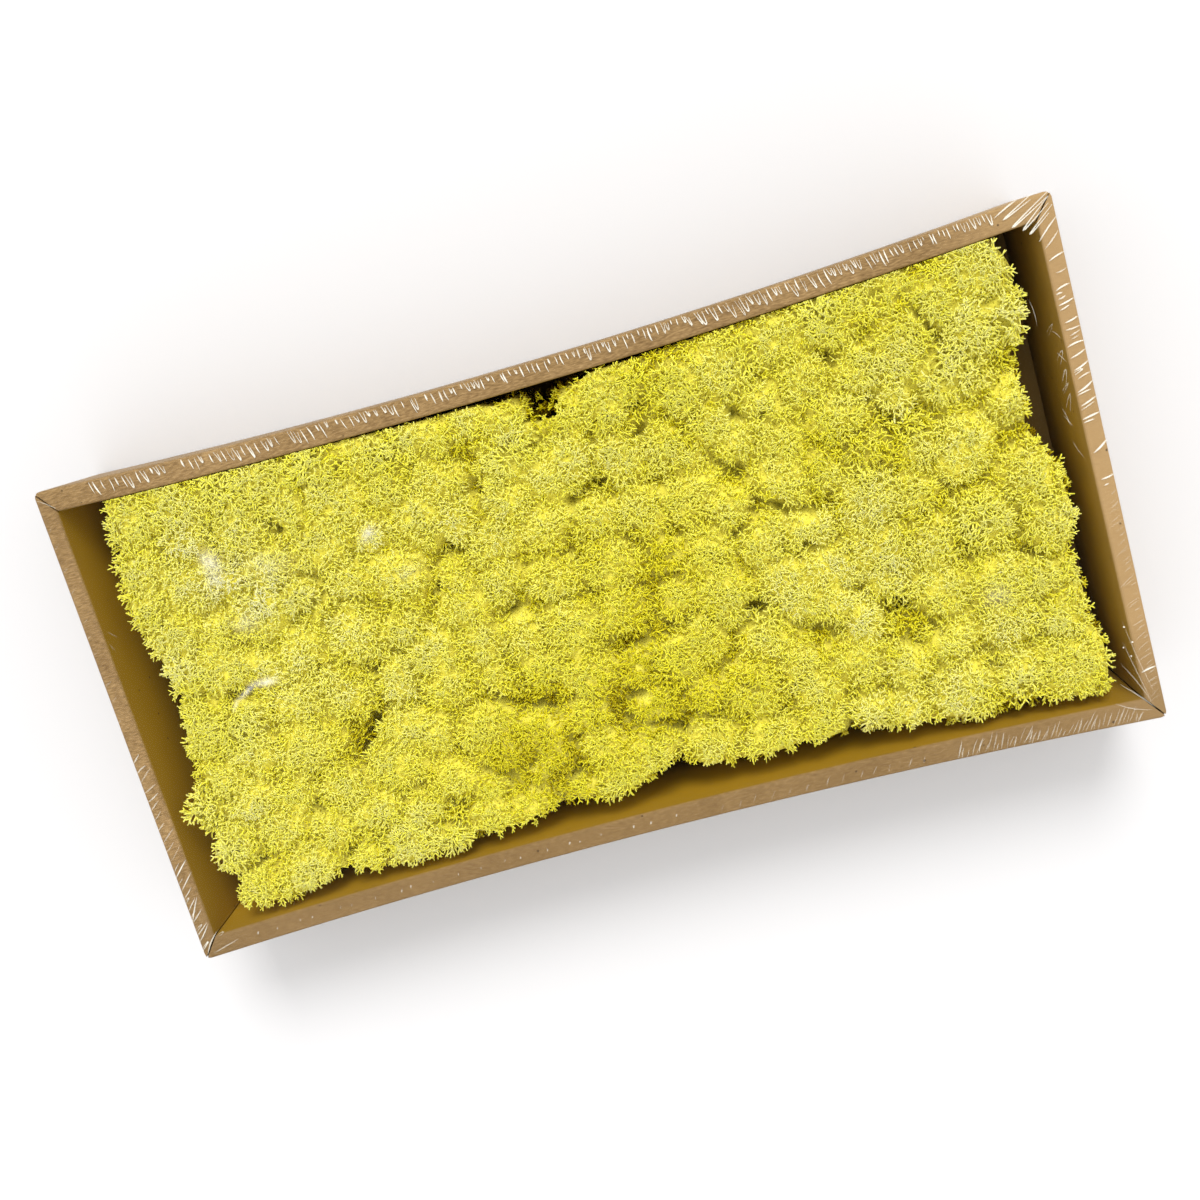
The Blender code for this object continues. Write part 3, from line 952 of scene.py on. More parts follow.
@dataclass
class ClumpLand:
    """The clump's lie: how high its top is and how far its edge is, anywhere on the tray.

    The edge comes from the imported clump, read once on a grid of points. The top is a crowd of domes,
    one for each cushion, pressed down by the film.

    Each wave is how far it moves a place, its own width and its pattern. Each lump is its width and
    rise. The dent is a place along the far wall that the clump isn't pressed to, and its reach, and
    the notch there is its place, its reach and how far across the tray it starts.
    """

    step: float = 2.0
    half_length: float = 202.0
    half_width: float = 104.0
    edge_level: float = 28.0
    crest: float = 60.1
    crest_softness: float = 1.2
    roundness: float = 1.48
    cushion_variety: float = 0.3
    deepest_sag: float = 7.5
    cushion_waves: tuple[tuple[float, float, int], ...] = ((3.2, 13.0, 43), (1.2, 5.0, 45))
    crease_waves: tuple[tuple[float, float, int], ...] = ((2.0, 5.0, 31),)
    crease_depth: float = 0.75
    crease_width: float = 0.8
    shoulder: float = 7.0
    walled_from: float = 70.0
    walled_fade: float = 8.0
    walled_half_length: float = 179.0
    walled_end_fade: float = 6.0
    walled_lift: float = 0.85
    wall_reach: float = 4.2
    dent: tuple[float, float] = (1.0, 9.0)
    notch: tuple[float, float, float] = (0.0, 13.0, 76.0)
    notch_fade: float = 4.0
    notch_reach: float = 7.0
    notch_fall: float = 4.2
    lumps: tuple[tuple[float, float], ...] = ((21.0, 0.9), (11.0, 0.9), (5.5, 0.5))
    edges: np.ndarray = field(init=False)

    def __post_init__(self) -> None:
        """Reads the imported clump's outline."""
        clump = frame["nodes"][Node.MOSS.value]
        surface = BVHTree.FromObject(clump, bpy.context.evaluated_depsgraph_get())
        xs = np.arange(-self.half_length, self.half_length + 0.1, self.step)
        ys = np.arange(-self.half_width, self.half_width + 0.1, self.step)
        self.edges = np.zeros((len(xs), len(ys)))
        down = Vector((0, 0, -1))
        for i, x in enumerate(xs):
            for j, y in enumerate(ys):
                over = surface.ray_cast(Vector((x + 0.01, y + 0.01, 200.0)) * MM, down)[0]
                away = surface.find_nearest(Vector((x, y, self.edge_level)) * MM)[3] / MM
                self.edges[i, j] = away if over is None else -away

    def edge(self, x: np.ndarray, y: np.ndarray) -> np.ndarray:
        """How far each place is outside the clump's outline.

        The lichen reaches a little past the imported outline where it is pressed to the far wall.

        Args:
            x: Places along the tray.
            y: Places across the tray.

        Returns:
            The distances in millimetres, less than nought inside.
        """
        u = np.clip((x + self.half_length) / self.step, 0, self.edges.shape[0] - 1.001)
        v = np.clip((y + self.half_width) / self.step, 0, self.edges.shape[1] - 1.001)
        i, j = u.astype(int), v.astype(int)
        f, g = u - i, v - j
        low = self.edges[i, j] * (1 - f) + self.edges[i + 1, j] * f
        high = self.edges[i, j + 1] * (1 - f) + self.edges[i + 1, j + 1] * f
        reach = self.wall_reach * self.walled(x, y) + self.notch_reach * self.notched(x, y)
        return low * (1 - g) + high * g - reach

    def notched(self, x: np.ndarray, y: np.ndarray) -> np.ndarray:
        """How far each place is in the sunken notch by the far wall, from 0 to 1."""
        across = ((x - self.notch[0]) / self.notch[1]) ** 2
        return np.exp(-(across**2)) * np.clip((y - self.notch[2]) / self.notch_fade, 0.0, 1.0)

    def outward(self, x: np.ndarray, y: np.ndarray) -> np.ndarray:
        """The level direction that leads out of the clump soonest.

        Args:
            x: Places along the tray.
            y: Places across the tray.

        Returns:
            One row of x, y, z for each place.
        """
        gap = self.step
        across = self.edge(x + gap, y) - self.edge(x - gap, y)
        along = self.edge(x, y + gap) - self.edge(x, y - gap)
        return unit(np.stack([across, along, np.zeros_like(across)], -1))

    def waved(
        self, x: np.ndarray, y: np.ndarray, waves: Sequence[tuple[float, float, int]]
    ) -> tuple[np.ndarray, np.ndarray]:
        """Moves places about unevenly, so that what is drawn there has no straight or round edge.

        Args:
            x: Places along the tray.
            y: Places across the tray.
            waves: How far each wave moves a place, its width and its pattern.

        Returns:
            The places moved to, along and across.
        """
        along, across = x, y
        for reach, size, seed in waves:
            along = along + reach * soft_noise(x, y, size, seed)
            across = across + reach * soft_noise(x, y, size, seed + 1)
        return along, across

    def creased(self, x: np.ndarray, y: np.ndarray) -> np.ndarray:
        """How deep the creases between cushions are.

        Args:
            x: Places along the tray.
            y: Places across the tray.

        Returns:
            The depths in millimetres.
        """
        drop = np.zeros_like(x, dtype=float)
        u, v = self.waved(x, y, self.crease_waves)
        for crease in CREASES:
            nearest = np.full(np.shape(x), np.inf)
            for (ax, ay), (bx, by) in zip(crease.line, crease.line[1:]):
                dx, dy = bx - ax, by - ay
                along = np.clip(((u - ax) * dx + (v - ay) * dy) / (dx**2 + dy**2), 0, 1)
                nearest = np.minimum(nearest, np.hypot(u - ax - along * dx, v - ay - along * dy))
            sides = (nearest / (self.crease_width * crease.width)) ** 2
            drop = np.maximum(drop, self.crease_depth * crease.depth * np.exp(-sides))
        return drop

    def walled(self, x: np.ndarray, y: np.ndarray) -> np.ndarray:
        """How firmly the clump is pressed to the far wall, other than at the notch and the ends.

        Args:
            x: Places along the tray.
            y: Places across the tray.

        Returns:
            A share from 0 to 1 for each place.
        """
        pressed = np.clip((y - self.walled_from) / self.walled_fade, 0.0, 1.0)
        dent = np.exp(-((x - self.dent[0]) / self.dent[1]) ** 2)
        ends = np.clip((self.walled_half_length - np.abs(x)) / self.walled_end_fade, 0.0, 1.0)
        return pressed * (1 - dent) * ends

    def sag(self, x: np.ndarray, y: np.ndarray) -> np.ndarray:
        """How far each place lies below the crown of the cushion that it is on.

        Args:
            x: Places along the tray.
            y: Places across the tray.

        Returns:
            The depths in millimetres.
        """
        bent_x, bent_y = self.waved(x, y, self.cushion_waves)
        least = np.full(np.shape(x), self.deepest_sag)
        for number, (cx, cy, radius) in enumerate(CUSHIONS):
            # Some cushions are rounder than others, in an order that doesn't repeat.
            bend = self.roundness * radius * (1.0 + self.cushion_variety * math.sin(2.4 * number))
            gap = np.minimum(np.hypot(bent_x - cx, bent_y - cy), bend)
            least = np.minimum(least, bend - np.sqrt(np.maximum(bend**2 - gap**2, 0.0)))
        return least

    def top(self, x: np.ndarray, y: np.ndarray) -> np.ndarray:
        """Height of the branchlets' tips, with cushions, lumps and creases.

        Args:
            x: Places along the tray.
            y: Places across the tray.

        Returns:
            The heights in millimetres.
        """
        height = self.crest - self.sag(x, y)
        for seed, (size, rise) in enumerate(self.lumps, 40):
            height = height + rise * soft_noise(x, y, size, seed)
        height = soft_cap(height, self.crest, self.crest_softness)
        into = np.clip(self.edge(x, y) + self.shoulder, 0.0, self.shoulder)
        fall = self.shoulder - np.sqrt(self.shoulder**2 - into**2)
        height = height - fall - self.creased(x, y) - self.notch_fall * self.notched(x, y)
        return height + (self.crest - height) * self.walled_lift * self.walled(x, y)

    def facing(self, x: np.ndarray, y: np.ndarray) -> np.ndarray:
        """The direction that the clump's top faces.

        Args:
            x: Places along the tray.
            y: Places across the tray.

        Returns:
            One row of x, y, z for each place.
        """
        gap = 1.5
        slope_x = (self.top(x + gap, y) - self.top(x - gap, y)) / (2 * gap)
        slope_y = (self.top(x, y + gap) - self.top(x, y - gap)) / (2 * gap)
        return unit(np.stack([-slope_x, -slope_y, np.ones_like(slope_x)], -1))


@dataclass
class Branchlets:
    """Rows of numbers for many branchlets: where each starts and ends, how thick and what tone."""

    start: np.ndarray
    end: np.ndarray
    thickness: np.ndarray
    end_thickness: np.ndarray
    tone: np.ndarray
    plant: np.ndarray

    def joined(self, other: Branchlets) -> Branchlets:
        """These branchlets and the other ones in one set."""
        pairs = ((getattr(self, name), getattr(other, name)) for name in self.__dataclass_fields__)
        return Branchlets(*(np.concatenate(pair) for pair in pairs))

    def chosen(self, which: np.ndarray) -> Branchlets:
        """The branchlets that a mask picks out."""
        return Branchlets(*(getattr(self, name)[which] for name in self.__dataclass_fields__))


@dataclass
class MossClump:
    """The springy clump: a matted heart under thousands of small many-branched plants.

    The fields go from how the plants stand and lean, through what holds them in, to the heart under
    them and then the branchlets' tones, on a scale from 0 to 1 that the finish turns to colours. Each
    wave is its width and height. Heart_shades is the painted shade on the heart: how much darker it is
    for each millimetre of sag, for each millimetre of crease, and in a loose patch. The tone's fall with
    sag is painted shade in the hollows between cushions.
    """

    tray: KraftTray
    land: ClumpLand = field(default_factory=ClumpLand)
    plant_spacing: float = 3.42
    side_spacing: float = 2.7
    spacing_luck: float = 0.42
    top_inset: float = 2.6
    wall_crowding: float = 2.9
    missing_in_creases: float = 0.55
    missing_in_patches: float = 0.42
    deep_crease: float = 5.0
    swirl_size: float = 15.0
    swirl_turn_degrees: float = 288.0
    lean: float = 0.5
    lean_wave: tuple[float, float] = (12.0, 0.3)
    upright_at_wall: float = 0.6
    top_luck: float = 0.22
    side_band: tuple[float, float] = (-6.0, -2.4)
    side_levels: tuple[float, float] = (20.0, 48.0)
    side_lift: float = 0.4
    side_luck: float = 0.3
    crown_height: float = 4.7
    film_level: float = 59.45
    film_softness: float = 1.2
    spiky_reach: float = 0.9
    wall_clearance: float = 0.45
    heart_depth: float = 2.4
    heart_sag_share: float = 0.12
    heart_crease_share: float = 0.3
    heart_lump_size: float = 4.0
    heart_lump_rise: float = 0.4
    heart_inset: float = 4.0
    heart_rim: float = 0.4
    heart_wall_share: float = 0.6
    heart_step: float = 2.8
    heart_shades: tuple[float, float, float] = (0.03, 0.14, 0.5)
    heart_darkest: float = 0.8
    underside: float = 2.3
    mid_tone: float = 0.56
    crown_tone: float = 0.07
    # Painted shade: branchlets are given a darker tone for each millimetre they sag below a crown.
    sag_shade_tone: float = -0.05
    branch_tone: float = 0.06
    tip_tone: float = 0.07
    shade_starts: float = 0.8
    shade_depth: float = 8.0
    growth: Growth = field(default_factory=Growth)
    pieces: int = 6
    seed: int = 11
    finish: LichenBranchlets = field(default_factory=LichenBranchlets)
    heart_finish: LichenHeart = field(default_factory=LichenHeart)

    def build(self) -> list[bpy.types.Object]:
        """Builds the clump.

        Returns:
            Its pieces.
        """
        made = [self._heart()]
        made += self._mats()
        for piece in made:
            place_in_pack(piece, Node.MOSS)
        return made

    def _heart(self) -> bpy.types.Object:
        """Builds the matted inside: a closed block a little way in from the clump's tips.

        Returns:
            The piece.
        """
        step = self.heart_step
        xs = np.arange(-self.land.half_length, self.land.half_length, step)
        ys = np.arange(-self.land.half_width, self.land.half_width, step)
        x, y = (grid.ravel() for grid in np.meshgrid(xs, ys, indexing="ij"))
        number = np.arange(len(x)).reshape(len(xs), len(ys))
        inset = self.heart_inset * (1 - self.heart_wall_share * self.land.walled(x, y))
        inside = (self.land.edge(x, y) < -inset).reshape(number.shape)
        kept = inside[:-1, :-1] & inside[1:, :-1] & inside[1:, 1:] & inside[:-1, 1:]
        cells = grid_cells(number)[kept]
        edges = np.concatenate([cells[:, [i, (i + 1) % 4]] for i in range(4)])
        both = {tuple(edge) for edge in edges.tolist()}
        rim = np.array([edge for edge in both if edge[::-1] not in both])
        on_rim = np.unique(rim)
        # The block's stepped rim is drawn out to an even line along the clump's outline.
        out = self.land.outward(x[on_rim], y[on_rim])
        gap = self.heart_rim - inset[on_rim] - self.land.edge(x[on_rim], y[on_rim])
        x[on_rim] += out[:, 0] * gap
        y[on_rim] += out[:, 1] * gap
        side_limit = self.tray.inner_half_width(x) - self.wall_clearance
        y = np.clip(y, -side_limit, side_limit)
        deep = self.heart_depth + self.heart_sag_share * self.land.sag(x, y)
        deep += self.heart_crease_share * self.land.creased(x, y)
        deep += self.heart_lump_rise * soft_noise(x, y, self.heart_lump_size, 51)
        high = np.stack([x, y, np.minimum(self.land.top(x, y), self.film_level) - deep], -1)
        low = np.stack([x, y, np.full(len(x), self.underside)], -1)
        count = len(x)
        walls = np.stack([rim[:, 0], rim[:, 0] + count, rim[:, 1] + count, rim[:, 1]], -1)
        faces = np.concatenate([cells, cells[:, ::-1] + count, walls])
        used = np.unique(faces)
        renumber = np.zeros(2 * count, int)
        renumber[used] = np.arange(len(used))
        places = np.concatenate([high, low])[used]
        heart = mesh_object("moss_heart", places, renumber[faces])
        x, y = places[:, 0], places[:, 1]
        # Painted shade on the heart: darker with sag, in the creases and in the loose patches.
        by_sag, by_crease, by_patch = self.heart_shades
        shade = by_sag * self.land.sag(x, y) + by_crease * self.land.creased(x, y)
        shade += by_patch * np.clip(in_patches(x, y, OPEN_PATCHES), 0, 1)
        store_values(heart, "depth", np.clip(shade, 0.0, self.heart_darkest))
        heart.data.materials.append(self.heart_finish.material())
        return heart

    def _scattered(self, spacing: float, rng: np.random.Generator) -> np.ndarray:
        """Places a rough honeycomb of points over the tray.

        Args:
            spacing: Distance from one point to the next.
            rng: Source of the unevenness.

        Returns:
            One row of x, y for each point.
        """
        row = spacing * math.sqrt(3) / 2
        columns = int(2 * self.land.half_length / spacing) + 2
        rows = int(2 * self.land.half_width / row) + 2
        i, j = np.meshgrid(np.arange(columns), np.arange(rows), indexing="ij")
        x = (i + 0.5 * (j % 2)) * spacing - self.land.half_length
        y = j * row - self.land.half_width
        points = np.stack([x.ravel(), y.ravel()], -1)
        return points + rng.uniform(-self.spacing_luck, self.spacing_luck, points.shape) * spacing

    def _top_plants(self, rng: np.random.Generator) -> tuple[np.ndarray, np.ndarray]:
        """Places the plants on the clump's top, fewer of them in creases and loose patches.

        Args:
            rng: Source of the unevenness.

        Returns:
            The plants' roots and headings.
        """
        points = self._scattered(self.plant_spacing, rng)
        x, y = points.T
        creased = np.clip(self.land.creased(x, y) / self.deep_crease, 0.0, 1.0)
        loose = np.clip(in_patches(x, y, OPEN_PATCHES), 0, 1)
        luck = rng.uniform(0, 1, len(x))
        walled = self.land.walled(x, y)
        inside = self.land.edge(x, y) < -self.top_inset + self.wall_crowding * walled
        kept = inside & (luck > self.missing_in_creases * creased + self.missing_in_patches * loose)
        x, y, walled = x[kept], y[kept], walled[kept]
        # Neighbouring plants lean the same way, as if combed in slow swirls.
        facing = self.land.facing(x, y)
        swirl = math.radians(self.swirl_turn_degrees) * soft_noise(x, y, self.swirl_size, 61)
        comb = np.stack([np.cos(swirl), np.sin(swirl), np.zeros_like(swirl)], -1)
        size, height = self.lean_wave
        lean = (self.lean + height * soft_noise(x, y, size, 62)) * (1 - self.upright_at_wall * walled)
        heading = unit(facing + comb * lean[:, None] + rng.normal(0, self.top_luck, (len(x), 3)))
        surface = np.stack([x, y, self.land.top(x, y)], -1)
        return surface - heading * self.crown_height, heading

    def _side_plants(self, rng: np.random.Generator) -> tuple[np.ndarray, np.ndarray]:
        """Places the plants on the clump's flanks, other than where a wall hides them.

        Args:
            rng: Source of the unevenness.

        Returns:
            The plants' roots and headings.
        """
        points = self._scattered(self.side_spacing, rng)
        x, y = points.T
        edge = self.land.edge(x, y)
        free = (y < self.land.walled_from + 12) | (self.land.notched(x, y) > 0.3)
        kept = (edge > self.side_band[0]) & (edge < self.side_band[1]) & free
        x, y = x[kept], y[kept]
        outward = self.land.outward(x, y)
        level = rng.uniform(*self.side_levels, len(x))
        heading = unit(outward + self.side_lift * UP + rng.normal(0, self.side_luck, (len(x), 3)))
        return np.stack([x, y, level], -1), heading

    def _held_in(self, places: np.ndarray, margin: float) -> np.ndarray:
        """Keeps places under the film, inside the walls and close to the clump's outline.

        Args:
            places: One row of x, y, z for each place.
            margin: Half the thickness of what lies there.

        Returns:
            The places, moved where they stood too far out.
        """
        held = places.copy()
        held[:, 2] = soft_cap(held[:, 2], self.film_level - margin, self.film_softness)
        x, y = held[:, 0], held[:, 1]
        push = np.maximum(self.land.edge(x, y) - self.spiky_reach, 0.0)
        held -= self.land.outward(x, y) * push[:, None]
        long_limit = self.tray.inner_half_length() - self.wall_clearance
        side_limit = self.tray.inner_half_width(held[:, 0]) - self.wall_clearance
        held[:, 0] = np.clip(held[:, 0], -long_limit, long_limit)
        held[:, 1] = np.clip(held[:, 1], -side_limit, side_limit)
        return held

    def _grown(self, roots: np.ndarray, headings: np.ndarray, rng: np.random.Generator) -> Branchlets:
        """Grows every plant from its root, order by order.

        The first branchlet of each fork leads on in the same curve, and the others turn off it.

        Args:
            roots: Where each plant's stem starts.
            headings: Which way each plant grows.
            rng: Source of the unevenness.

        Returns:
            All branchlets.
        """
        growth = self.growth
        count = len(roots)
        x, y = roots[:, 0], roots[:, 1]
        loose = np.clip(in_patches(x, y, OPEN_PATCHES), 0, 1)
        fringe = np.clip((self.land.edge(x, y) + 6.0) / 4.0, 0, 1)
        tone = self.mid_tone + 0.08 * soft_noise(x, y, 24.0, 71) + 0.06 * soft_noise(x, y, 9.0, 72)
        tone = tone + in_patches(x, y, TONE_PATCHES) + rng.normal(0, growth.plant_tone_luck, count)
        # Painted shade in the hollows between cushions, by sag.
        tone = tone + self.crown_tone + self.sag_shade_tone * self.land.sag(x, y)
        # Plants in the loose patches are longer and thicker, and those on the outline are smaller.
        vigour = 1.0 + 0.12 * soft_noise(x, y, 17.0, 73) + rng.normal(0, growth.vigour_luck, count)
        vigour = (vigour + 0.4 * loose) * (1 - 0.5 * fringe)
        slim = 1 - 0.25 * fringe + 0.25 * loose
        tips = self._held_in(roots + headings * (growth.stem_length * vigour)[:, None], 0.5)
        thick = growth.stem_thickness * slim
        plant = np.arange(count)
        grown = Branchlets(roots, tips, thick, thick * growth.stem_taper, tone, plant)
        curl = rng.normal(0, 1, headings.shape)
        for order in growth.orders:
            n = len(tips)
            turn = np.tile(np.arange(order.children) * (2 * math.pi / order.children), (n, 1))
            turn = turn + rng.normal(0, growth.turn_luck, turn.shape)
            turn[:, 0] = rng.normal(0, growth.leader_luck, n)
            spread = np.radians(order.spread_degrees) * rng.uniform(*growth.spread_luck, turn.shape)
            spread[:, 0] *= growth.leader_bend
            side = unit(curl - headings * np.sum(curl * headings, -1, keepdims=True))
            other = np.cross(headings, side)
            turn, spread = turn[..., None], spread[..., None]
            sideways = np.cos(turn) * side[:, None] + np.sin(turn) * other[:, None]
            aimed = np.cos(spread) * headings[:, None] + np.sin(spread) * sideways
            aimed = unit(aimed + growth.upward_pull * UP).reshape(-1, 3)
            curl = sideways.reshape(-1, 3)
            starts = np.repeat(tips, order.children, 0)
            plant = np.repeat(plant, order.children)
            length = order.length * vigour[plant] * rng.uniform(*growth.length_luck, len(plant))
            ends = self._held_in(starts + aimed * length[:, None], order.thickness / 2)
            varied = rng.normal(0, growth.branch_tone_luck, len(plant))
            tone_here = tone[plant] + varied + self.branch_tone
            thick = order.thickness * rng.uniform(*growth.thickness_luck, len(plant)) * slim[plant]
            taper = growth.tip_taper if order is growth.orders[-1] else growth.branch_taper
            forked = Branchlets(starts, ends, thick, thick * taper, tone_here, plant)
            grown = grown.joined(forked)
            tips, headings = ends, unit(ends - starts)
        return grown

    def _mats(self) -> list[bpy.types.Object]:
        """Builds the branchlets in a few pieces side by side, so that none is too heavy.

        Returns:
            The pieces.
        """
        rng = np.random.default_rng(self.seed)
        top_roots, top_headings = self._top_plants(rng)
        side_roots, side_headings = self._side_plants(rng)
        roots = np.concatenate([top_roots, side_roots])
        headings = np.concatenate([top_headings, side_headings])
        grown = self._grown(roots, headings, rng)
        halfway = (self.growth.tip_taper + self.growth.stem_taper) / 2
        tips = grown.end_thickness / grown.thickness < halfway
        LOG.info("moss: %d plants, %d branchlets, %d tips", len(roots), len(tips), tips.sum())
        order = np.argsort(roots[:, 0])
        finish = self.finish.material()
        made = []
        for number, share in enumerate(np.array_split(order, self.pieces), 1):
            here = np.isin(grown.plant, share)
            made.append(self._mat(f"moss_mat_{number}", grown.chosen(here), tips[here], finish, rng))
        return made

    def _mat(
        self,
        name: str,
        parts: Branchlets,
        tips: np.ndarray,
        finish: bpy.types.Material,
        rng: np.random.Generator,
    ) -> bpy.types.Object:
        """Builds one piece of the mat.

        Args:
            name: The piece's name.
            parts: Its branchlets.
            tips: Which of them end in a tip.
            finish: Their material.
            rng: Source of the unevenness.

        Returns:
            The piece.
        """
        count = len(parts.start)
        heading = unit(parts.end - parts.start)
        side = unit(np.cross(heading, rng.normal(0, 1, (count, 3))))
        other = np.cross(heading, side)
        corners = np.radians([0.0, 120.0, 240.0])
        ring = np.cos(corners)[:, None, None] * side + np.sin(corners)[:, None, None] * other
        # Each branchlet starts a little way inside the one that bears it.
        low = parts.start - 0.15 * heading + ring * (parts.thickness / 2)[:, None]
        high = parts.end + ring * (parts.end_thickness / 2)[:, None]
        points = np.concatenate([low, high]).transpose(1, 0, 2).reshape(-1, 3)
        base = np.arange(count)[:, None, None] * 6
        wall = [[0, 1, 4], [0, 4, 3], [1, 2, 5], [1, 5, 4], [2, 0, 3], [2, 3, 5]]
        blunt = [[3, 4, 5]]
        walls = (base + np.array(wall)).reshape(-1, 3)
        faces = np.concatenate([walls, (base[tips] + np.array(blunt)).reshape(-1, 3)])
        piece = mesh_object(name, points, faces)
        paler = np.where(tips, self.tip_tone, 0.0)[:, None] * np.array([0, 0, 0, 1, 1, 1])
        tone = np.clip((parts.tone[:, None] + paler).ravel(), 0.0, 1.0)
        x, y = points[:, 0], points[:, 1]
        # Depth counts more where a place sags below its cushion's crown: painted shade in the hollows.
        crown = np.minimum(self.land.top(x, y), self.film_level) + 0.25 * self.land.sag(x, y)
        depth = np.clip((crown - points[:, 2] - self.shade_starts) / self.shade_depth, 0.0, 1.0)
        store_values(piece, "tone", tone)
        store_values(piece, "depth", depth)
        self._palette(piece, tone, depth, rng)
        piece.data.materials.append(finish)
        return piece

    def _palette(
        self, piece: bpy.types.Object, tone: np.ndarray, depth: np.ndarray, rng: np.random.Generator
    ) -> None:
        """Lays the faces out by tone and depth, so that one small map holds all their colours.

        Args:
            piece: The piece that is given the layout.
            tone: Each vertex's tone.
            depth: Each vertex's depth.
            rng: Source of the small shifts that keep a face from lying on a single point.
        """
        mesh = piece.data
        corners = np.zeros(len(mesh.loops), int)
        mesh.loops.foreach_get("vertex_index", corners)
        margin = 0.03
        places = margin + (1 - 2 * margin) * np.stack([tone[corners], depth[corners]], -1)
        places += rng.uniform(-0.012, 0.012, places.shape)
        layer = mesh.uv_layers.new(name="OFBake")
        layer.data.foreach_set("uv", places.ravel().astype(np.float32))


class Side(Enum):
    """The rim's four sides, as seen in the photo."""

    FAR = "far"
    NEAR = "near"
    LEFT = "left"
    RIGHT = "right"


@dataclass(frozen=True)
class PleatRun:
    """A row of small shrink pleats across one side of the rim, white with painted glints.

    They run from first to last along that side, a gap apart, and start an inset from its outer edge.
    Slant is how far each one drifts along the side for each millimetre of its length. Loops is the
    share of them that turn back on themselves in a thin hook.
    """

    side: Side
    first: float
    last: float
    gap: float
    length: float
    slant: float
    inset: float
    whiteness: float
    loops: float = 0.0
    width: float = 0.6


# The pleats are raised ridges; their white is a painted glint of the lamp.
PLEAT_RUNS: tuple[PleatRun, ...] = (
    PleatRun(Side.FAR, -178, -142, 2.8, 4.8, 0.22, 0.9, 1.0, 0.2, 0.7),
    PleatRun(Side.FAR, -140, -96, 2.8, 5.2, 0.25, 0.9, 1.0, 0.4, 0.72),
    PleatRun(Side.FAR, -96, -40, 2.7, 5.0, 0.25, 0.8, 1.0, 0.4, 0.72),
    PleatRun(Side.FAR, -40, 18, 2.2, 4.2, 0.2, 0.6, 1.0, 0.3, 0.7),
    PleatRun(Side.FAR, 18, 60, 1.9, 4.4, 0.1, 0.5, 1.0, 0.4, 0.65),
    PleatRun(Side.FAR, 60, 112, 2.3, 5.2, 0.3, 0.5, 1.0, 0.85, 0.62),
    PleatRun(Side.FAR, 112, 146, 1.9, 5.2, 0.25, 0.5, 1.0, 0.7, 0.6),
    PleatRun(Side.FAR, 146, 178, 1.8, 3.8, 0.2, 0.5, 1.0, 0.5, 0.55),
    PleatRun(Side.RIGHT, -92, -8, 2.3, 5.2, -0.5, 0.9, 0.16),
    PleatRun(Side.NEAR, 118, 190, 1.7, 6.4, 0.6, 1.0, 0.3),
    PleatRun(Side.NEAR, 20, 116, 7.0, 3.0, 0.6, 2.0, 0.16),
    PleatRun(Side.NEAR, -180, 10, 9.0, 1.2, 0.4, 4.0, 0.5),
    PleatRun(Side.LEFT, -98, -58, 2.9, 6.0, 0.8, 0.5, 0.7, 0.1),
    PleatRun(Side.LEFT, -58, -6, 4.4, 5.6, 0.7, 0.6, 0.42),
    PleatRun(Side.LEFT, 0, 90, 9.0, 3.0, 0.6, 1.0, 0.14),
)


@dataclass(frozen=True)
class Stroke:
    """One pleat of its own: its ends on the tray, width, painted glint whiteness, and whether it loops.
    """

    start: tuple[float, float]
    end: tuple[float, float]
    width: float
    whiteness: float
    loop: bool = False


